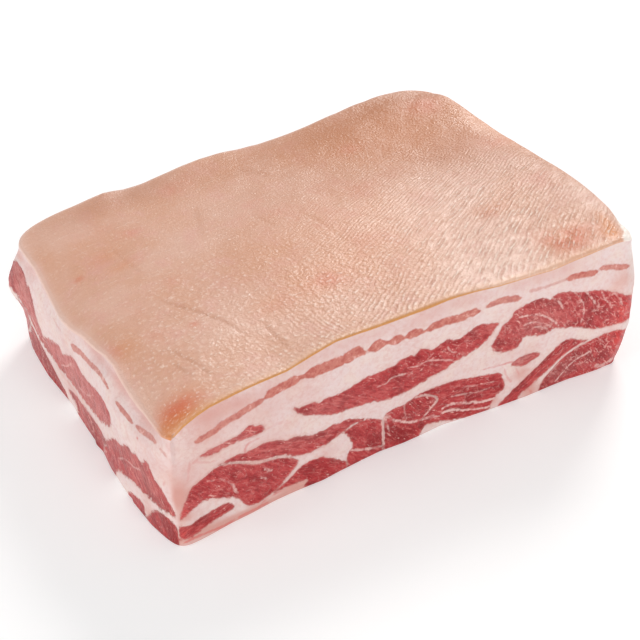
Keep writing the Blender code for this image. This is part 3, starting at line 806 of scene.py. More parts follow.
def drawingPlaces():
    # where each wall point lies on the drawings. The back takes the front's, as the muscles run through
    rows = wall.shape[0]
    along = np.zeros((rows, ringSize))
    up = np.zeros((rows, ringSize))
    extra = 26  # columns of the front's drawing past the right corner
    front = np.arange(0, nu + extra)
    frontAlong, frontUp = ontoFront(wall[:, front])
    turning = smoothstep(arc[front], arcRight - 9, arcRight + 4)
    least = (0.25 + 0.75 * turning[:-1]) * columnStep
    frontAlong = steadySteps(frontAlong, least)
    freeze = nu - 3
    frontUp = frontUp * (1 - turning) + frontUp[:, freeze:freeze + 1] * turning
    along[:, front] = frontAlong
    up[:, front] = frontUp
    # right end: the drawing goes on. Back: the front's drawing, from its right end
    rest = np.arange(nu + extra, 2 * nu + nv)
    walked = arc[rest] - arc[rest[0]] + frontAlong[:, -1].mean()
    farCorner = arcBack - arc[rest[0]] + frontAlong[:, -1].mean()
    backAlong = frontAlong[:, nu].mean() + farCorner - walked
    placed = np.where(walked > farCorner, backAlong, walked)
    wander = 5 * np.sin(walked / 23 + 0.6) * smoothstep(walked, farCorner, farCorner + 40)
    placed = placed + wander * (1 - smoothstep(arc[rest], arcLeft - 25, arcLeft))
    along[:, rest] = placed
    for row in range(rows):
        up[row, rest] = np.interp(placed, frontAlong[row], frontUp[row])
    # left end
    left = np.arange(2 * nu + nv - 30, ringSize)
    leftAlong, leftUp = ontoLeft(wall[:, left])
    turning = 1 - smoothstep(arc[left], arcLeft - 6, arcLeft + 14)
    least = (0.25 + 0.75 * turning[1:]) * columnStep
    leftAlong = -steadySteps(-leftAlong[:, ::-1], least[::-1])[:, ::-1]
    freeze = np.searchsorted(arc[left], arcLeft + 6)
    leftUp = leftUp * (1 - turning) + leftUp[:, freeze:freeze + 1] * turning
    return along, up, left, leftAlong, leftUp


drawnAlong, drawnUp, leftColumns, leftDrawnAlong, leftDrawnUp = drawingPlaces()
mainColumns = np.arange(0, 2 * nu + nv)
print("reading the drawings")
mainFields = readDrawing(drawnAlong[:, mainColumns], drawnUp[:, mainColumns])
leftFields = readDrawing(leftDrawnAlong, leftDrawnUp)


# how far the left cut's drawing has taken over from the back's
turnStart, turnEnd = cut["farCornerTurn"]
leftShare = np.zeros(ringSize)
leftShare[leftColumns] = smoothstep(arc[leftColumns], arcLeft + turnStart, arcLeft + turnEnd)


def joinFields():
    result = {}
    for name, main in mainFields.items():
        whole = np.zeros((wall.shape[0], ringSize) + main.shape[2:])
        whole[:, mainColumns] = main
        share = leftShare[leftColumns].reshape((1, -1) + (1,) * (main.ndim - 2))
        if name == "fibre":
            share = (share > 0.5) * 1.0
        whole[:, leftColumns] = whole[:, leftColumns] * (1 - share) + leftFields[name] * share
        result[name] = whole
    # the muscles end before the far left corner, as they do at the near one
    ahead, width, depth = cut["farCornerGap"]
    result["lean"] -= depth * np.exp(-((arc - arcLeft + ahead) / width) ** 2)
    return result


joined = joinFields()
print("drawings read")


# relief of the walls

relief = {
    "broad": 0.45, "broadSize": 24,
    "medium": 0.16, "mediumSize": 8,
    "fatLumps": 0.10, "fatLumpSize": 3.2,
    "leanSunk": 0.22,  # the lean lies this much lower than the fat
    "membraneRise": 0.10,
    "fibres": 0.09, "fibreLength": 4.0, "fibreWidth": 1.1,
    "foot": 0.9, "footSize": 12, "footEase": 9,  # the underside is uneven, and flat near its rim
}


def wallRelief():
    isLean = smoothstep(joined["lean"], -0.3, 0.9)
    fibreSpots = joined["fibre"] / (relief["fibreLength"], relief["fibreWidth"], 1)
    rise = relief["broad"] * layeredNoise(wall, relief["broadSize"], 3, 2)
    rise += relief["medium"] * layeredNoise(wall, relief["mediumSize"], 7, 2)
    rise += relief["fatLumps"] * (1 - isLean) * gradientNoise(wall / relief["fatLumpSize"], 11)
    rise -= relief["leanSunk"] * isLean
    rise += relief["membraneRise"] * smoothstep(joined["membrane"], -0.4, 0.3) * isLean
    rise += relief["fibres"] * isLean * gradientNoise(fibreSpots, 19)
    return rise


outNormals = wallNormals(wall)
rimEase = smoothstep(heights[-1] - heights, 0.2, 3)
footEase = smoothstep(heights, 0, 2.5)
broadOnly = relief["broad"] * layeredNoise(wall, relief["broadSize"], 3, 2)
wallShape = wall + outNormals * (wallRelief() * rimEase * footEase + broadOnly * (1 - rimEase))[..., None]
wallShape[..., 2] = np.maximum(wallShape[..., 2], 0)
print("walls shaped")


# grids that fill a ring, for the skin, the underside and the faces between the layers

def layRing(grid, ring):
    # puts a ring of values round the rim of a grid
    cv, cu = grid.shape[0] - 1, grid.shape[1] - 1
    grid[0, :] = ring[:cu + 1]
    grid[:, cu] = ring[cu:cu + cv + 1]
    grid[cv, ::-1] = ring[cu + cv:2 * cu + cv + 1]
    grid[::-1, 0] = np.concatenate([ring[2 * cu + cv:], ring[:1]])


def ringOf(grid):
    return np.concatenate([grid[0, :-1], grid[:-1, -1], grid[-1, :0:-1], grid[:0:-1, 0]])


def fromRim(factor):
    # millimetres from each point of a grid to its rim, the short way along the grid
    i = np.arange(nu // factor + 1)
    j = np.arange(nv // factor + 1)
    cellsAway = np.minimum(np.minimum(i, i[::-1])[None, :], np.minimum(j, j[::-1])[:, None])
    return cellsAway * factor * columnStep


def fillGrid(ring, factor, rounds):
    # a grid inside the ring, eased so that it never folds
    cu = nu // factor
    cv = nv // factor
    grid = np.zeros((cv + 1, cu + 1) + ring.shape[1:])
    layRing(grid, ring[::factor])
    flat = (1,) * (ring.ndim - 1)
    s = (np.arange(cu + 1) / cu).reshape((1, -1) + flat)
    t = (np.arange(cv + 1) / cv).reshape((-1, 1) + flat)
    corners = (1 - s) * (1 - t) * grid[0, 0] + s * (1 - t) * grid[0, -1]
    corners = corners + (1 - s) * t * grid[-1, 0] + s * t * grid[-1, -1]
    whole = (1 - t) * grid[:1] + t * grid[-1:] + (1 - s) * grid[:, :1] + s * grid[:, -1:] - corners
    grid[1:-1, 1:-1] = whole[1:-1, 1:-1]
    for attempt in range(rounds):
        grid[1:-1, 1:-1] = (grid[2:, 1:-1] + grid[:-2, 1:-1] + grid[1:-1, 2:] + grid[1:-1, :-2]) / 4
    return grid


def capFaces(factor):
    # faces of a filled ring, seen from above: ring vertices first, then the grid's inner ones
    cu = nu // factor
    cv = nv // factor

    def inner(i, j):
        i = min(max(i, 1), cu - 1)
        j = min(max(j, 1), cv - 1)
        return ringSize + (j - 1) * (cu - 1) + i - 1

    faces = []
    for j in range(1, cv - 1):
        for i in range(1, cu - 1):
            faces.append([inner(i, j), inner(i + 1, j), inner(i + 1, j + 1), inner(i, j + 1)])
    walks = (
        (cu, lambda c: inner(c, 1)), (cv, lambda c: inner(cu - 1, c)),
        (cu, lambda c: inner(cu - c, cv - 1)), (cv, lambda c: inner(1, cv - c)),
    )
    start = 0
    for count, place in walks:
        for c in range(count):
            face = [(start + k) % ringSize for k in range(c * factor, (c + 1) * factor + 1)]
            face.append(place(c + 1))
            if place(c) != place(c + 1):
                face.append(place(c))
            faces.append(face)
        start += count * factor
    return faces


def wallFaces(rows):
    first = (np.arange(rows)[:, None] * ringSize + np.arange(ringSize)).ravel()
    after = (np.arange(rows)[:, None] * ringSize + (np.arange(ringSize) + 1) % ringSize).ravel()
    return np.stack([first, after, after + ringSize, first + ringSize], 1).tolist()


def makePiece(name, points, faces, attributes, normals):
    mesh = bpy.data.meshes.new(name)
    mesh.from_pydata((points * mm).tolist(), [], faces)
    mesh.update()
    for label, values in attributes.items():
        kind = "FLOAT_VECTOR" if values.ndim == 2 else "FLOAT"
        layer = mesh.attributes.new(label, kind, "POINT")
        layer.data.foreach_set("vector" if values.ndim == 2 else "value", values.astype(np.float32).ravel())
    mesh.shade_smooth()
    mesh.normals_split_custom_set_from_vertices(normals.tolist())
    piece = bpy.data.objects.new(name, mesh)
    scene.collection.objects.link(piece)
    return piece


# the skin

skin = {
    "rimEase": 24,  # over this width the skin comes down to its rim
    "sampleShare": 0.985,  # sampled a little nearer the middle, to stay over the slab
    "smoothing": 3.2,
    "broad": 0.50, "broadSize": 34,
    "medium": 0.14, "mediumSize": 10,
    "wrinkleSpacing": 1.95,
    "slant": 1.04, "slantTurn": 0.0064,  # the wrinkles lean over, and turn flatter towards the back
    "slantTurnEnd": 80,
    "slantingFrom": (68, 98),  # upright before the first place, slanting after the second
    "slantingFades": (150, 188, 0.2),
    "wrinkleLength": 6, "wrinkleDepth": 0.1,
    # where it is pebbled instead
    "pebbled": (((85, 25), (45, 28), 0.7), ((20, 20), (24, 26), 0.45), ((120, 55), (40, 30), 0.2),
                ((42, 62), (26, 24), 0.4), ((14, 40), (14, 22), 0.3), ((60, 4), (60, 8), 0.5)),
    "pebbleSize": 2.0, "pebbleHeight": 0.08,
    # where the wrinkles are strong: centre, size, strength
    "wrinkled": (((170, 30), (52, 36), 0.85), ((165, 6), (50, 12), 0.25), ((95, 12), (38, 22), 0.5),
                 ((52, 2), (34, 12), 0.45), ((175, 66), (40, 16), 0.3), ((130, 70), (70, 50), 0.15)),
    # long shallow creases: path, depth, width
    "creases": ((((29, 118), (30, 100), (32, 83)), 0.12, 0.7),
                (((27, 70), (34, 56), (41, 41), (46, 24)), 0.3, 0.9),
                (((17, 43), (22, 28), (26, 13)), 0.24, 0.9), (((16, 33), (20, 18)), 0.22, 0.8),
                (((53, 34), (54, 12)), 0.24, 0.9), (((99, 91), (104, 73), (105, 45)), 0.10, 1.0),
                (((93, 73), (96, 55)), 0.10, 1.0), (((24, 62), (31, 48)), 0.10, 0.8),
                (((84, 100), (89, 78)), 0.08, 1.0), (((70, 120), (60, 92)), 0.12, 2.0),
                (((96, 136), (108, 118)), 0.16, 2.4)),
    # warmer, redder and paler places: centre, size, strength
    "warm": (((2, 3), (10, 8), 1.6), ((5, 51), (6, 5), 0.4), ((24, 109), (7, 4), 0.2),
             ((28, 98), (6, 3), 0.3), ((8, 12), (12, 9), 0.4), ((195, 7), (4, 5), 1.2),
             ((198, 14), (3, 6), 0.8), ((179, 13), (11, 8), 0.6), ((20, 0.5), (40, 3), 0.5),
             ((166, 46), (9, 6), 0.3), ((172, 116), (44, 30), 0.45), ((112, 138), (50, 18), 0.15),
             # the warm place at 208, 90 browns the curved right edge, where the lamp falls strongly:
             # painted shade
             ((208, 90), (10, 44), 0.5), ((104, 68), (40, 36), 0.34), ((112, 40), (36, 22), 0.16),
             ((84, 44), (20, 10), 0.2), ((60, 38), (9, 7), 0.3)),
    # the tanned places are partly the skin's own tan and partly painted shade, on the curved right edge and
    # towards the back right
    "tanAndPaintedShade": (((180, 124), (46, 32), 1.25), ((212, 112), (12, 26), 0.9), ((172, 98), (14, 14), 0.35),
               ((179, 13), (10, 7), 0.45), ((166, 46), (9, 6), 0.35), ((115, 138), (50, 18), 0.35),
               ((45, 142), (36, 9), 0.4), ((210, 84), (13, 50), 1.1), ((118, 104), (34, 18), 0.15),
               ((150, 88), (50, 14), 0.25), ((80, 60), (32, 30), 0.12), ((178, 80), (20, 14), 0.2)),
    "red": (((8, 11), (8, 6), 0.8), ((179, 13), (9, 7), 0.75), ((176, 20), (18, 10), 0.15),
            ((192, 51), (9, 8), 0.2), ((166, 46), (8, 5), 0.35), ((191, 130), (9, 7), 0.4),
            ((112, 57), (5, 5), 0.2), ((85, 40), (9, 6), 0.35), ((70, 135), (7, 5), 0.25),
            ((30, 125), (9, 6), 0.2), ((24, 107), (6, 5), 0.1), ((39, 116), (5, 4), 0.3),
            ((12, 105), (1.6, 1.6), 0.7), ((32, 45), (1.8, 1.8), 0.6), ((38, 75), (4, 3), 0.25),
            ((18, 48), (4, 4), 0.25), ((20, 66), (4, 4), 0.25), ((2, 54), (4, 6), 0.35),
            ((90, 91), (5, 3), 0.2), ((145, 119), (7, 4), 0.3), ((199, 88), (7, 6), 0.3),
            ((134, 88), (8, 6), 0.15), ((92, 106), (4, 3), 0.25)),
    # the paler places are partly the skin's own paleness and partly a painted sheen, towards the right
    # front and along the front edge
    "paleAndSheen": (((146, 12), (34, 16), 0.7), ((158, 38), (30, 20), 0.3), ((203, 24), (6, 8), 0.6),
             ((40, 22), (24, 26), 0.3), ((36, 5), (30, 5), 0.5), ((100, 4), (50, 5), 0.3),
             ((60, 92), (22, 26), 0.1)),
    # where the rind ends and fat shows
    "bare": (((204, 0), (8, 6), 1.4), ((205, 10), (4, 8), 0.8)),
}


def fromCorner(points):
    return points[..., 0] - cornerX, points[..., 1] - cornerY


def spread(x, y, places):
    total = np.zeros(x.shape)
    for (px, py), (wide, deep), amount in places:
        total += amount * np.exp(-((x - px) / wide) ** 2 - ((y - py) / deep) ** 2)
    return total


def wrinkleSpots(x, y):
    # across and along the slanting wrinkles, and across the upright ones of the left end
    flat = np.stack([x, y, np.zeros_like(x)], -1)
    turned = np.minimum(y, skin["slantTurnEnd"])
    slanted = x - skin["slant"] * y - skin["slantTurn"] * turned * (2 * y - turned)
    across = 0.62 * slanted + 1.3 * layeredNoise(flat, 20, 31, 2) + 0.45 * gradientNoise(flat / 5, 33)
    along = 0.72 * x + 0.70 * y
    upright = x + 0.1 * y + 1.6 * layeredNoise(flat, 14, 35, 2)
    return across, along, upright


def wrinkleStrength(x, y):
    # strong in places, and broken along each wrinkle
    across, along = wrinkleSpots(x, y)[:2]
    spots = (across / skin["wrinkleSpacing"] * 0.6, along / skin["wrinkleLength"], np.zeros_like(x))
    broken = np.clip(0.75 + 0.7 * gradientNoise(np.stack(spots, -1), 43), 0.2, 1.3)
    return np.clip(spread(x, y, skin["wrinkled"]), 0, 1.2) * broken


def slantingShare(x):
    start, end, least = skin["slantingFades"]
    return smoothstep(x, *skin["slantingFrom"]) * (1 - least * smoothstep(x, start, end))


def creaseDepth(x, y):
    # depth of the long creases, in millimetres
    total = np.zeros(x.size)
    spots = np.stack([x.ravel(), y.ravel()], 1)
    for path, depth, width in skin["creases"]:
        line = throughPoints(path, False, 8)
        near = np.flatnonzero(nearby(spots, line, 8))
        away, place = toLine(spots[near], line, False)
        faded = smoothstep(np.minimum(place, 1 - place), 0, 0.3)
        total[near] += depth * np.exp(-(away / width) ** 2) * faded
    return total.reshape(x.shape)


def skinRelief(points):
    x, y = fromCorner(points)
    flat = np.stack([x, y, np.zeros_like(x)], -1)
    across, along, upright = wrinkleSpots(x, y)
    share = slantingShare(x)
    ridges = np.sin(across * 2 * math.pi / skin["wrinkleSpacing"]) * share
    ridges += np.sin(upright * 2 * math.pi / skin["wrinkleSpacing"]) * (1 - share) * 0.7
    brushed = gradientNoise(np.stack([across / 0.95, along / 4, np.zeros_like(x)], -1), 47)
    knobs = gradientNoise(flat / 2.6, 49) * (1 - share)
    folds = 0.7 * ridges + 1.3 * brushed * share + 0.9 * knobs
    height = skin["wrinkleDepth"] * wrinkleStrength(x, y) * folds
    pebbles = gradientNoise(flat / skin["pebbleSize"], 53)
    height += skin["pebbleHeight"] * np.clip(spread(x, y, skin["pebbled"]), 0, 1) * pebbles
    height += skin["medium"] * layeredNoise(flat, skin["mediumSize"], 51, 2)
    height -= creaseDepth(x, y)
    return height


topRing = wallShape[-1].copy()
skinGrid = fillGrid(topRing, 1, 80)
sampled = np.zeros(skinGrid.shape[:2])
skinMiddle = skinGrid[1:-1, 1:-1, :2].mean((0, 1))
for j in range(0, nv + 1, 2):
    for i in range(0, nu + 1, 2):
        x, y = skinMiddle + (skinGrid[j, i, :2] - skinMiddle) * skin["sampleShare"]
        sampled[j, i] = heightUnder(wholeTree, x, y)
coarse = sampled[::2, ::2]
coarse = np.where(np.isnan(coarse), np.nanmean(coarse), coarse)
coarse = smoothGrid(coarse, skin["smoothing"])
sampled[::2, ::2] = coarse
sampled[1::2, ::2] = (coarse[:-1] + coarse[1:]) / 2
sampled[:, 1::2] = (sampled[:, :-1:2] + sampled[:, 2::2]) / 2
gap = skinGrid[..., 2] - sampled
spreadGap = fillGrid(ringOf(gap), 1, 40)
inward = fromRim(1)
skinGrid[..., 2] = sampled + spreadGap * np.exp(-(inward / skin["rimEase"]) ** 2)
broadSkin = skin["broad"] * layeredNoise(skinGrid, skin["broadSize"], 3, 2)
skinGrid[..., 2] += broadSkin * smoothstep(inward, 0, 12)
skinGrid[..., 2] += skinRelief(skinGrid)
rindStart = rowStarts[-2]
rindRows = wallShape[rindStart:]
lift = (heights[rindStart:] - heights[rindStart]) / (heights[-1] - heights[rindStart])
rindRows[..., 2] += skinRelief(rindRows) * lift ** 2
layRing(skinGrid, rindRows[-1])
print("skin shaped")


# normals of the whole outside, so that no border between two layers shades as an edge

def gridNormals(grid):
    across = np.gradient(grid, axis=1)
    upGrid = np.gradient(grid, axis=0)
    normal = np.cross(across, upGrid)
    return normal / np.maximum(np.linalg.norm(normal, axis=-1, keepdims=True), 1e-9)


wallNormal = wallNormals(wallShape)
skinNormal = gridNormals(skinGrid)
edgeNormal = wallNormal[-1] + ringOf(skinNormal)
wallNormal[-1] = edgeNormal / np.linalg.norm(edgeNormal, axis=-1, keepdims=True)

footGrid = fillGrid(wallShape[0], slab["underGrid"], 60)
footInward = fromRim(slab["underGrid"])
footRelief = np.clip(0.5 + 0.5 * layeredNoise(footGrid, relief["footSize"], 61, 3), 0, 1.2)
footGrid[..., 2] = footRelief * smoothstep(footInward, 0, relief["footEase"]) * relief["foot"]
footNormal = -gridNormals(footGrid)
wallNormal[0] = wallNormal[0] + (0, 0, -1)
wallNormal[0] /= np.linalg.norm(wallNormal[0], axis=-1, keepdims=True)


# attributes that the finishes read

def wallAttributes():
    fields = dict(joined)
    fields["streak"] = np.maximum(joined["streak"], -4)
    fields["flush"] = np.clip(joined["flush"], -1.5, 1.2)
    for name in ("faded", "marbled"):
        fields[name] = np.clip(joined[name], 0, 1)
    # one on the left cut, nothing on the others, half right at the near corner
    onLeft = leftShare * (1 - 0.5 * smoothstep(arc, ringLength - 2, ringLength))
    onLeft[:4] = 0.5 * (1 - np.arange(4) / 4)
    fields["leftCut"] = np.broadcast_to(onLeft, wall.shape[:2])
    return fields


wallFields = wallAttributes()


# the underside shows lean and fat in patches, and joins the walls' drawing at its rim
underside = {
    "ease": (1, 10),
    "patches": 7, "patchSize": 30, "moreLean": 1.4,
    "bands": 3, "bandSize": (46, 9, 9),
    "flush": 0.75,
}


def footAttributes():
    inner = footGrid[1:-1, 1:-1]
    ease = smoothstep(footInward, *underside["ease"])[1:-1, 1:-1]
    patches = layeredNoise(footGrid, underside["patchSize"], 71, 3)[1:-1, 1:-1]
    patches = patches * underside["patches"] + underside["moreLean"]
    bands = gradientNoise(footGrid / underside["bandSize"], 73)[1:-1, 1:-1] * underside["bands"]
    result = {}
    for name, values in wallFields.items():
        rim = np.array(values[0], float)
        spreadIn = fillGrid(rim, slab["underGrid"], 30)[1:-1, 1:-1]
        if name == "lean":
            own = np.clip(patches + bands, -5, 5)
            result[name] = spreadIn * (1 - ease) + own * ease
        elif name == "fibre":
            result[name] = np.stack([inner[..., 0], inner[..., 1], inner[..., 2] * 0 + 400], -1)
        elif name == "flush":
            result[name] = spreadIn * (1 - ease) + underside["flush"] * ease
        elif name in ("streak", "membrane", "thread"):
            result[name] = spreadIn * (1 - ease) - 4 * ease
        else:
            result[name] = spreadIn * (1 - ease)
    return {name: values.reshape((-1,) + values.shape[2:]) for name, values in result.items()}


footFields = footAttributes()


def capValues(name, count, isLean):
    if name == "fibre":
        return np.tile((0.0, 0.0, 300.0), (count, 1))
    if name == "lean":
        return np.full(count, 3.0 if isLean else -4.0)
    if name in ("streak", "membrane", "thread"):
        return np.full(count, -4.0)
    return np.zeros(count)


hiddenFaces = capFaces(slab["hiddenGrid"])
footFaces = capFaces(slab["underGrid"])


def flipped(faces):
    return [face[::-1] for face in faces]


def shifted(faces, ringTo, innerTo):
    return [[v + ringTo if v < ringSize else v - ringSize + innerTo for v in face] for face in faces]


def hiddenPoints(ring, factor, rounds, raised):
    # the inner points of a face that no one sees
    return fillGrid(ring, factor, rounds)[1:-1, 1:-1].reshape(-1, 3) + (0, 0, raised)


def layerPiece(index):
    name, node, rows, finish = slab["layers"][index]
    start = rowStarts[index]
    isLean = finish == "lean"
    body = wallShape[start:start + rows + 1]
    points = [body.reshape(-1, 3)]
    pieceNormals = [wallNormal[start:start + rows + 1].reshape(-1, 3)]
    faces = wallFaces(rows)
    if index == 0:
        foot = footGrid[1:-1, 1:-1].reshape(-1, 3)
        footNormals = footNormal[1:-1, 1:-1].reshape(-1, 3)
        under = footFaces
    else:
        foot = hiddenPoints(body[0], slab["hiddenGrid"], 400, slab["faceGap"])
        footNormals = np.tile((0.0, 0.0, -1.0), (len(foot), 1))
        under = hiddenFaces
    head = hiddenPoints(body[-1], slab["hiddenGrid"], 400, -slab["faceGap"])
    wallCount = len(points[0])
    faces += shifted(flipped(under), 0, wallCount)
    faces += shifted(hiddenFaces, rows * ringSize, wallCount + len(foot))
    points += [foot, head]
    pieceNormals += [footNormals, np.tile((0.0, 0.0, 1.0), (len(head), 1))]
    attributes = {}
    for label, values in wallFields.items():
        part = np.array(values[start:start + rows + 1], float)
        part = part.reshape((-1,) + part.shape[2:])
        footPart = footFields[label] if index == 0 else capValues(label, len(foot), isLean)
        attributes[label] = np.concatenate([part, footPart, capValues(label, len(head), isLean)])
    piece = makePiece(name, np.concatenate(points), faces, attributes, np.concatenate(pieceNormals))
    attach(piece, "root")
    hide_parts(node)
    return piece


def rindPiece():
    rows = slab["rindRows"]
    body = wallShape[rindStart:]
    under = hiddenPoints(body[0], slab["rindUnderGrid"], 200, slab["faceGap"])
    inner = skinGrid[1:-1, 1:-1]
    wallCount = (rows + 1) * ringSize
    faces = wallFaces(rows)
    faces += shifted(flipped(capFaces(slab["rindUnderGrid"])), 0, wallCount)
    faces += shifted(capFaces(1), rows * ringSize, wallCount + len(under))
    points = np.concatenate([body.reshape(-1, 3), under, inner.reshape(-1, 3)])
    down = np.tile((0.0, 0.0, -1.0), (len(under), 1))
    pieceNormals = np.concatenate([
        wallNormal[rindStart:].reshape(-1, 3), down, skinNormal[1:-1, 1:-1].reshape(-1, 3),
    ])
    x, y = fromCorner(points)
    across, along, upright = wrinkleSpots(x, y)
    edge = np.zeros(len(points))
    frontness = perSide((1.0, 0.35, 0.35, 0.0), 3) * (1 - 0.8 * smoothstep(arc, 178, 196))
    lineTop = 1.05 - 0.6 * smoothstep(arc, 100, 160)
    edge[:wallCount] = (frontness * (1 - smoothstep(lift, lineTop - 0.45, lineTop))).ravel()
    rimPale = np.zeros(len(points))
    leftness = perSide((0.0, 0.0, 0.3, 1.0), 4) * smoothstep(ringLength - arc, 0, 16)
    rimPale[:wallCount] = (leftness * (1 - smoothstep(lift, 0.3, 1.0) * 0.4)).ravel()
    i = np.arange(nu + 1)[None, :]
    j = np.arange(nv + 1)[:, None]
    nearLeft = 0.3 * (1 - smoothstep(inward, 0, 4)) * (i <= np.minimum(j, nv - j)) * smoothstep(j, 4, 30)
    rimPale[wallCount + len(under):] = nearLeft[1:-1, 1:-1].ravel()
    # a paler golden band along the front rim: partly the rind's colour, partly a painted highlight
    marginAndHighlight = np.zeros(len(points))
    marginAndHighlight[:wallCount] = np.broadcast_to(frontness, lift.shape).ravel()
    marginAndHighlightGrid = np.exp(-(j * columnStep / 2.4) ** 2) * frontness[None, :nu + 1]
    marginAndHighlight[wallCount + len(under):] = marginAndHighlightGrid[1:-1, 1:-1].ravel()
    attributes = {
        "wrinkle": np.stack([across, along, upright], 1),
        "slanting": slantingShare(x),
        "wrinkled": wrinkleStrength(x, y),
        "pebbled": np.clip(spread(x, y, skin["pebbled"]), 0, 1),
        "marginAndHighlight": marginAndHighlight,
        "warm": np.clip(spread(x, y, skin["warm"]), 0, 1.2),
        # darker still in the creases: painted shade
        "tanAndPaintedShade": np.clip(spread(x, y, skin["tanAndPaintedShade"]) + 1.3 * creaseDepth(x, y), 0, 1),
        "red": np.clip(spread(x, y, skin["red"]), 0, 1.2),
        "paleAndSheen": np.clip(spread(x, y, skin["paleAndSheen"]), 0, 1.2),
        "bare": spread(x, y, skin["bare"]),
        "edge": edge,
        "rimPale": rimPale,
    }
    piece = makePiece("rind", points, faces, attributes, pieceNormals)
    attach(piece, "root")
    return piece


# finishes

def addNode(tree, kind, inputs=(), **settings):
    made = tree.nodes.new(kind)
    for key, value in settings.items():
        setattr(made, key, value)
    for key, value in dict(inputs).items():
        if isinstance(value, bpy.types.NodeSocket):
            tree.links.new(value, made.inputs[key])
        else:
            made.inputs[key].default_value = value
    return made


def mathNode(tree, operation, a, b=0.0, clamp=False):
    return addNode(tree, "ShaderNodeMath", {0: a, 1: b}, operation=operation, use_clamp=clamp).outputs[0]


def times(tree, a, b):
    return mathNode(tree, "MULTIPLY", a, b)


def plus(tree, a, b):
    return mathNode(tree, "ADD", a, b)


def minus(tree, a, b, clamp=False):
    return mathNode(tree, "SUBTRACT", a, b, clamp)


def attribute(tree, name, output="Fac"):
    return addNode(tree, "ShaderNodeAttribute", attribute_name=name).outputs[output]


def between(tree, value, start, end, least=0.0, most=1.0):
    # eased from least to most while the value goes from start to end
    inputs = {"Value": value, "From Min": start, "From Max": end, "To Min": least, "To Max": most}
    return addNode(tree, "ShaderNodeMapRange", inputs, interpolation_type="SMOOTHSTEP").outputs["Result"]


def mixed(tree, share, first, second):
    inputs = {0: share, 6: first, 7: second}
    for key in (6, 7):
        if isinstance(inputs[key], tuple):
            inputs[key] = (*inputs[key], 1)
    return addNode(tree, "ShaderNodeMix", inputs, data_type="RGBA").outputs[2]


def noiseAt(tree, place, scale, detail=2.0, roughness=0.5):
    inputs = {"Vector": place, "Scale": scale, "Detail": detail, "Roughness": roughness}
    return addNode(tree, "ShaderNodeTexNoise", inputs).outputs["Fac"]


def stretched(tree, place, scale, offset=(0, 0, 0)):
    inputs = {"Vector": place, "Scale": scale, "Location": offset}
    return addNode(tree, "ShaderNodeMapping", inputs).outputs[0]


def srgb(red, green, blue):
    # a colour as it is picked on screen, 0 to 255, made linear
    shares = (red / 255, green / 255, blue / 255)
    return tuple(((share + 0.055) / 1.055) ** 2.4 if share > 0.04 else share / 12.92 for share in shares)


def newMaterial(name):
    material = bpy.data.materials.new(name)
    material.use_nodes = True
    tree = material.node_tree
    tree.nodes.clear()
    shader = addNode(tree, "ShaderNodeBsdfPrincipled")
    output = addNode(tree, "ShaderNodeOutputMaterial")
    tree.links.new(shader.outputs[0], output.inputs[0])
    return material, tree, shader


def addBump(tree, shader, height, strength, depth):
    inputs = {"Height": height, "Strength": strength, "Distance": depth * mm}
    bump = addNode(tree, "ShaderNodeBump", inputs)
    tree.links.new(bump.outputs[0], shader.inputs["Normal"])


def warped(tree, place, scale, amount):
    # the place pushed about by noise, so that straight patterns turn uneven
    noise = addNode(tree, "ShaderNodeTexNoise", {"Vector": place, "Scale": scale, "Detail": 2.0})
    moved = noise.outputs["Color"]
    half = (0.5, 0.5, 0.5)
    for operation, by in (("SUBTRACT", half), ("MULTIPLY", (amount, amount, amount)), ("ADD", place)):
        moved = addNode(tree, "ShaderNodeVectorMath", {0: moved, 1: by}, operation=operation).outputs[0]
    return moved


def cells(tree, place, scale, feature="F1", output="Distance"):
    made = addNode(tree, "ShaderNodeTexVoronoi", {"Vector": place, "Scale": scale}, feature=feature)
    return made.outputs[output]


cutFinish = {
    "lean": srgb(184, 52, 54), "leanDeep": srgb(146, 18, 24), "leanLight": srgb(212, 104, 98),
    # the fleck colour serves for the fat's flecks and for painted glints on the lean
    "leanBright": srgb(220, 34, 26), "leanEnd": srgb(218, 152, 144), "fleckAndGlint": srgb(242, 190, 180),
    "fat": srgb(233, 210, 207), "fatPink": srgb(216, 158, 147), "fatCream": srgb(235, 212, 202),
    "fatWhite": srgb(252, 242, 238),
    "streak": srgb(203, 122, 108), "streakDark": srgb(188, 96, 84), "membrane": srgb(238, 198, 190),
    "rim": srgb(214, 132, 124),
    "roughness": 0.38, "bump": 0.8, "bumpDepth": 0.6, "shine": 0.35,
    "edgeRaggedness": 2.3,  # millimetres, more than that on the left cut
    "feathering": 4.5,  # how far the fibres fray the lean's edge on the left cut
}


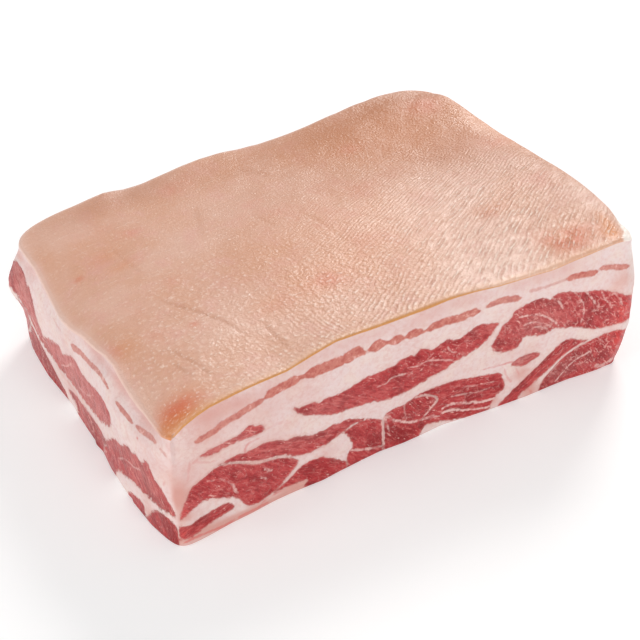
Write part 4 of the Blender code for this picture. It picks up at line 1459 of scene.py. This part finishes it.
def leanColour(tree, place, lean):
    # in fibre coordinates: millimetres along the fibres and across them
    fibre = warped(tree, attribute(tree, "fibre", "Vector"), 0.16, 2.6)
    tone = attribute(tree, "tone")
    broad = noiseAt(tree, stretched(tree, fibre, (0.07, 0.14, 1)), 1.0, 3)
    darkness = minus(tree, broad, times(tree, tone, 0.2))
    colour = mixed(tree, between(tree, darkness, 0.44, 0.72), cutFinish["lean"], cutFinish["leanDeep"])
    colour = mixed(tree, between(tree, darkness, 0.48, 0.28, 0, 0.3), colour, cutFinish["leanLight"])
    # grain: short fibres, lighter and darker
    strands = noiseAt(tree, stretched(tree, fibre, (0.26, 0.95, 1)), 1.0, 4, 0.66)
    colour = mixed(tree, between(tree, strands, 0.51, 0.68, 0, 0.6), colour, cutFinish["leanLight"])
    colour = mixed(tree, between(tree, strands, 0.50, 0.36, 0, 0.7), colour, cutFinish["leanDeep"])
    # bundles of fibres with a broken white net between them
    netted = warped(tree, stretched(tree, fibre, (0.15, 0.36, 1)), 0.9, 0.8)
    net = between(tree, cells(tree, netted, 1.0, "DISTANCE_TO_EDGE"), 0.12, 0.0)
    broken = between(tree, noiseAt(tree, place, 380, 4, 0.7), 0.46, 0.60)
    amount = plus(tree, times(tree, attribute(tree, "marbled"), 0.75), 0.12)
    net = times(tree, times(tree, net, broken), amount)
    colour = mixed(tree, net, colour, cutFinish["fleckAndGlint"])
    # specks and short strokes of fat, partly painted glints
    specks = noiseAt(tree, stretched(tree, fibre, (0.75, 1.25, 1), (4, 1, 0)), 1.0, 2, 0.6)
    specks = plus(tree, specks, times(tree, attribute(tree, "marbled"), 0.05))
    colour = mixed(tree, between(tree, specks, 0.66, 0.74, 0, 0.7), colour, cutFinish["fleckAndGlint"])
    flecks = noiseAt(tree, stretched(tree, fibre, (0.24, 0.90, 1), (7, 3, 0)), 1.0, 3, 0.6)
    clusters = noiseAt(tree, stretched(tree, fibre, (0.07, 0.10, 1), (2, 9, 0)), 1.0, 2)
    flecks = plus(tree, flecks, between(tree, clusters, 0.40, 0.66, 0.0, 0.08))
    colour = mixed(tree, between(tree, flecks, 0.68, 0.76, 0, 0.7), colour, cutFinish["fleckAndGlint"])
    bright = plus(tree, tone, times(tree, minus(tree, strands, 0.5), 1.6))
    colour = mixed(tree, between(tree, bright, 0.25, 1.2, 0, 0.75), colour, cutFinish["leanBright"])
    faded = times(tree, attribute(tree, "faded"), between(tree, strands, 0.35, 0.6, 0.3, 0.85))
    colour = mixed(tree, faded, colour, cutFinish["leanEnd"])
    colour = mixed(tree, between(tree, lean, 1.0, -0.1, 0, 0.4), colour, cutFinish["rim"])
    return colour, strands


def fatColour(tree, place, lean):
    mottle = noiseAt(tree, place, 130, 4, 0.6)
    cloud = noiseAt(tree, place, 48, 3)
    colour = mixed(tree, between(tree, mottle, 0.40, 0.7, 0, 0.7), cutFinish["fat"], cutFinish["fatCream"])
    pinkness = times(tree, minus(tree, cloud, 0.47), 1.3)
    pinkness = plus(tree, pinkness, attribute(tree, "flush"))
    pinkness = plus(tree, pinkness, between(tree, lean, -1.8, 0.0, 0, 0.25))
    colour = mixed(tree, between(tree, pinkness, 0.0, 1.15), colour, cutFinish["fatPink"])
    colour = mixed(tree, between(tree, pinkness, -0.2, -1.0), colour, cutFinish["fatWhite"])
    lobules = warped(tree, stretched(tree, place, (1, 1, 1.6)), 240, 0.004)
    lines = between(tree, cells(tree, lobules, 300, "DISTANCE_TO_EDGE"), 0.25, 0.0)
    faint = between(tree, noiseAt(tree, place, 90, 2), 0.45, 0.66, 0, 0.2)
    colour = mixed(tree, times(tree, lines, faint), colour, cutFinish["fatPink"])
    grain = between(tree, noiseAt(tree, place, 620, 3, 0.6), 0.42, 0.7, 0, 0.3)
    colour = mixed(tree, grain, colour, cutFinish["fatPink"])
    return colour


def cutMaterial(name):
    material, tree, shader = newMaterial(name)
    place = addNode(tree, "ShaderNodeTexCoord").outputs["Object"]
    lean = attribute(tree, "lean")
    leftCut = attribute(tree, "leftCut")
    leanSide, strands = leanColour(tree, place, lean)
    wiggle = minus(tree, noiseAt(tree, place, 520, 3, 0.6), 0.5)

    # white membranes between the muscles
    depth = plus(tree, attribute(tree, "membrane"), times(tree, wiggle, 1.5))
    share = times(tree, between(tree, depth, -0.4, 0.2), attribute(tree, "membraneStrength"))
    share = times(tree, share, between(tree, noiseAt(tree, place, 260, 3, 0.6), 0.36, 0.52, 0.35, 1.1))
    leanSide = mixed(tree, share, leanSide, cutFinish["membrane"])

    # thin streak and threads in the fat
    fatSide = fatColour(tree, place, lean)
    depth = plus(tree, attribute(tree, "streak"), times(tree, wiggle, 1.8))
    share = times(tree, between(tree, depth, -0.65, 0.25), attribute(tree, "streakStrength"))
    patchy = noiseAt(tree, place, 420, 3, 0.65)
    darkShare = between(tree, patchy, 0.46, 0.62)
    streakSide = mixed(tree, darkShare, cutFinish["streak"], cutFinish["streakDark"])
    streakSide = mixed(tree, between(tree, patchy, 0.42, 0.30, 0, 0.6), streakSide, cutFinish["fleckAndGlint"])
    fatSide = mixed(tree, share, fatSide, streakSide)
    depth = plus(tree, attribute(tree, "thread"), times(tree, wiggle, 1.2))
    share = times(tree, between(tree, depth, -0.5, 0.2), attribute(tree, "threadStrength"))
    fatSide = mixed(tree, share, fatSide, cutFinish["leanLight"])

    # lean over fat, with an uneven edge
    amount = times(tree, plus(tree, times(tree, leftCut, 0.7), 1.0), cutFinish["edgeRaggedness"])
    depth = plus(tree, lean, times(tree, wiggle, amount))
    # the fibres of the two cuts meet at the corner, and don't show right there
    steady = between(tree, mathNode(tree, "ABSOLUTE", minus(tree, leftCut, 0.5)), 0.03, 0.25)
    feathers = times(tree, minus(tree, strands, 0.5), leftCut)
    feathers = times(tree, feathers, steady)
    depth = plus(tree, depth, times(tree, feathers, cutFinish["feathering"]))
    leanShare = between(tree, depth, -0.4, 0.4)
    colour = mixed(tree, leanShare, fatSide, leanSide)
    tree.links.new(colour, shader.inputs["Base Color"])

    rough = between(tree, noiseAt(tree, place, 300, 3), 0.3, 0.7, cutFinish["roughness"] - 0.08,
                    cutFinish["roughness"] + 0.1)
    tree.links.new(rough, shader.inputs["Roughness"])
    fine = times(tree, minus(tree, strands, 0.5), steady)
    fine = times(tree, plus(tree, fine, 0.5), leanShare)
    fine = plus(tree, fine, times(tree, noiseAt(tree, place, 700, 4, 0.62), 0.6))
    addBump(tree, shader, fine, cutFinish["bump"], cutFinish["bumpDepth"])
    shader.inputs["Specular IOR Level"].default_value = cutFinish["shine"]
    return material


skinFinish = {
    "base": srgb(225, 179, 158), "tan": srgb(219, 166, 139), "pink": srgb(223, 168, 152),
    "paleAndSheen": srgb(246, 212, 196), "warm": srgb(216, 132, 66), "red": srgb(212, 84, 50),
    "tanAndPaintedShade": srgb(178, 114, 80), "golden": srgb(210, 144, 78), "marginAndHighlight": srgb(240, 192, 156),
    # valley is a painted shade for the fine relief's hollows; crest and glint are painted highlights on its
    # ridges
    "rim": srgb(232, 196, 182), "bareFat": srgb(253, 240, 230), "valleyShade": srgb(210, 148, 124),
    "crestHighlight": srgb(253, 226, 211), "glint": srgb(255, 232, 214),
    "stainsAndPaintedLight": (("paleAndSheen", 0.6), ("tanAndPaintedShade", 0.92), ("warm", 0.75)),
    "redness": 0.75, "crestHighlightShare": 0.78, "valleyShadeShare": 0.6,
    # heights of what is too fine for the mesh, against each other
    "folds": 1.3, "ridges": 0.16, "grain": 0.36, "scratches": 0.26,
    "roughness": 0.36, "bump": 1.0, "bumpDepth": 0.75,
}


def skinMaterial():
    material, tree, shader = newMaterial("pigSkin")
    place = addNode(tree, "ShaderNodeTexCoord").outputs["Object"]
    wrinkled = attribute(tree, "wrinkled")
    pebbled = attribute(tree, "pebbled")
    cloud = noiseAt(tree, place, 24, 4, 0.55)
    patches = noiseAt(tree, stretched(tree, place, (1, 1, 1), (0.3, 0.1, 0)), 70, 5, 0.65)
    colour = mixed(tree, between(tree, cloud, 0.38, 0.62), skinFinish["base"], skinFinish["tan"])
    colour = mixed(tree, between(tree, patches, 0.48, 0.68, 0, 0.7), colour, skinFinish["pink"])
    # tints: warm stains, tan with painted shade, and pale places with a painted sheen
    for name, share in skinFinish["stainsAndPaintedLight"]:
        colour = mixed(tree, times(tree, attribute(tree, name), share), colour, skinFinish[name])
    redness = times(tree, attribute(tree, "red"), between(tree, patches, 0.34, 0.60, 0.25, 1.0))
    colour = mixed(tree, times(tree, redness, skinFinish["redness"]), colour, skinFinish["red"])

    # wrinkles, pebbles and pores too fine for the mesh
    wrinkle = attribute(tree, "wrinkle", "Vector")
    parts = addNode(tree, "ShaderNodeSeparateXYZ", {"Vector": wrinkle}).outputs
    slanting = attribute(tree, "slanting")
    turn = 2 * math.pi / skin["wrinkleSpacing"]
    slantRidges = mathNode(tree, "SINE", times(tree, parts[0], turn))
    uprightRidges = mathNode(tree, "SINE", times(tree, parts[2], turn))
    uprightRidges = times(tree, uprightRidges, minus(tree, 1.0, slanting))
    ridges = plus(tree, times(tree, slantRidges, slanting), uprightRidges)
    beads = noiseAt(tree, stretched(tree, wrinkle, (1.05, 0.30, 0.1)), 1.0, 3, 0.55)
    folds = times(tree, minus(tree, beads, 0.5), skinFinish["folds"])
    foldHeight = plus(tree, times(tree, ridges, skinFinish["ridges"]), folds)
    foldHeight = times(tree, foldHeight, wrinkled)
    pebbles = cells(tree, warped(tree, place, 300, 0.003), 640, "SMOOTH_F1")
    pebbleAmount = plus(tree, times(tree, pebbled, 0.5), 0.1)
    pebbleHeight = times(tree, minus(tree, 0.42, pebbles), pebbleAmount)
    grain = minus(tree, noiseAt(tree, place, 1100, 3, 0.6), 0.5)
    scratches = noiseAt(tree, stretched(tree, place, (150, 900, 300)), 1.0, 3, 0.6)
    scratches = times(tree, minus(tree, scratches, 0.5), skinFinish["scratches"])
    calm = minus(tree, 1.0, times(tree, wrinkled, 0.9), True)
    height = plus(tree, foldHeight, pebbleHeight)
    height = plus(tree, height, times(tree, grain, skinFinish["grain"]))
    height = plus(tree, height, times(tree, scratches, calm))
    # painted shade in the hollows of the fine relief, and a painted highlight on its crests, dimmed where
    # the skin is tanned or shaded
    valleyShade = between(tree, height, -0.02, -0.3, 0, skinFinish["valleyShadeShare"])
    colour = mixed(tree, valleyShade, colour, skinFinish["valleyShade"])
    lessCrestHighlight = minus(tree, 1.0, times(tree, attribute(tree, "tanAndPaintedShade"), 0.7), True)
    crestHighlight = times(tree, between(tree, height, 0.0, 0.25, 0, skinFinish["crestHighlightShare"]), lessCrestHighlight)
    colour = mixed(tree, crestHighlight, colour, skinFinish["crestHighlight"])
    # painted glints on the wrinkles' crests and on the pebbled grain
    glints = times(tree, wrinkled, between(tree, height, 0.2, 0.4, 0, 0.5))
    sparkle = times(tree, pebbled, between(tree, grain, 0.1, 0.22, 0, 0.4))
    glints = mathNode(tree, "MAXIMUM", glints, sparkle)
    colour = mixed(tree, glints, colour, skinFinish["glint"])
    # the front rim's paler golden band, partly a painted highlight
    colour = mixed(tree, times(tree, attribute(tree, "marginAndHighlight"), 0.4), colour, skinFinish["marginAndHighlight"])
    colour = mixed(tree, attribute(tree, "rimPale"), colour, skinFinish["rim"])
    colour = mixed(tree, attribute(tree, "edge"), colour, skinFinish["golden"])
    bare = plus(tree, attribute(tree, "bare"), minus(tree, patches, 0.5))
    colour = mixed(tree, between(tree, bare, 0.42, 0.72), colour, skinFinish["bareFat"])
    tree.links.new(colour, shader.inputs["Base Color"])

    addBump(tree, shader, height, skinFinish["bump"], skinFinish["bumpDepth"])
    rough = between(tree, patches, 0.3, 0.7, skinFinish["roughness"] - 0.06, skinFinish["roughness"] + 0.08)
    tree.links.new(rough, shader.inputs["Roughness"])
    return material


finishes = {"lean": cutMaterial("leanCut"), "fat": cutMaterial("fatCut")}
for index, layer in enumerate(slab["layers"]):
    layerPiece(index).data.materials.append(finishes[layer[3]])
rindPiece().data.materials.append(skinMaterial())
print("pieces made")


# floor, lights and camera

studio = {
    "floorSize": 6.0,
    "floorColour": srgb(225, 225, 225),
    "floorGlow": 0.32,
    "worldStrength": 0.43,
    "lens": 80,
    "heading": 31.13,  # degrees right of straight at the front cut
    "tilt": 36.46,  # degrees down
    # lamp: place in metres, size, power, colour
    "lamps": (
        ("backSoftbox", (1.61, 1.35, 1.36), 0.8, 38, (1, 0.985, 0.96)),
        ("frontSoftbox", (-0.3, -2.3, 1.2), 1.5, 23, (1, 1, 1)),
        ("leftSoftbox", (-2.2, 0.1, 0.9), 1.5, 19, (1, 1, 1)),
    ),
}


def makeStudio():
    mesh = bpy.data.meshes.new("floor")
    half = studio["floorSize"] / 2
    corners = [(-half, -half, 0), (half, -half, 0), (half, half, 0), (-half, half, 0)]
    mesh.from_pydata(corners, [], [(0, 1, 2, 3)])
    floor = bpy.data.objects.new("floor", mesh)
    scene.collection.objects.link(floor)
    material, tree, shader = newMaterial("paleFloor")
    shader.inputs["Base Color"].default_value = (*studio["floorColour"], 1)
    shader.inputs["Roughness"].default_value = 0.9
    shader.inputs["Emission Color"].default_value = (1, 1, 1, 1)
    shader.inputs["Emission Strength"].default_value = studio["floorGlow"]
    mesh.materials.append(material)
    world = bpy.data.worlds.new("studio")
    world.use_nodes = True
    background = world.node_tree.nodes["Background"]
    background.inputs[0].default_value = (1, 1, 1, 1)
    background.inputs[1].default_value = studio["worldStrength"]
    scene.world = world
    for name, place, size, power, colour in studio["lamps"]:
        lamp = bpy.data.lights.new(name, "AREA")
        lamp.size = size
        lamp.energy = power
        lamp.color = colour
        holder = bpy.data.objects.new(name, lamp)
        holder.location = place
        holder.rotation_euler = (Vector((0, 0, 0.03)) - Vector(place)).to_track_quat("-Z", "Y").to_euler()
        scene.collection.objects.link(holder)
    camera = bpy.data.objects.new("camera", bpy.data.cameras.new("camera"))
    camera.location = Vector(spot) * mm
    camera.rotation_euler = (math.radians(90 - studio["tilt"]), 0, math.radians(-studio["heading"]))
    camera.data.lens = studio["lens"]
    camera.data.sensor_width = 36
    camera.data.clip_start = 0.01
    scene.collection.objects.link(camera)
    bpy.context.scene.camera = camera
    scene.view_settings.view_transform = "Standard"


makeStudio()
print("studio set")
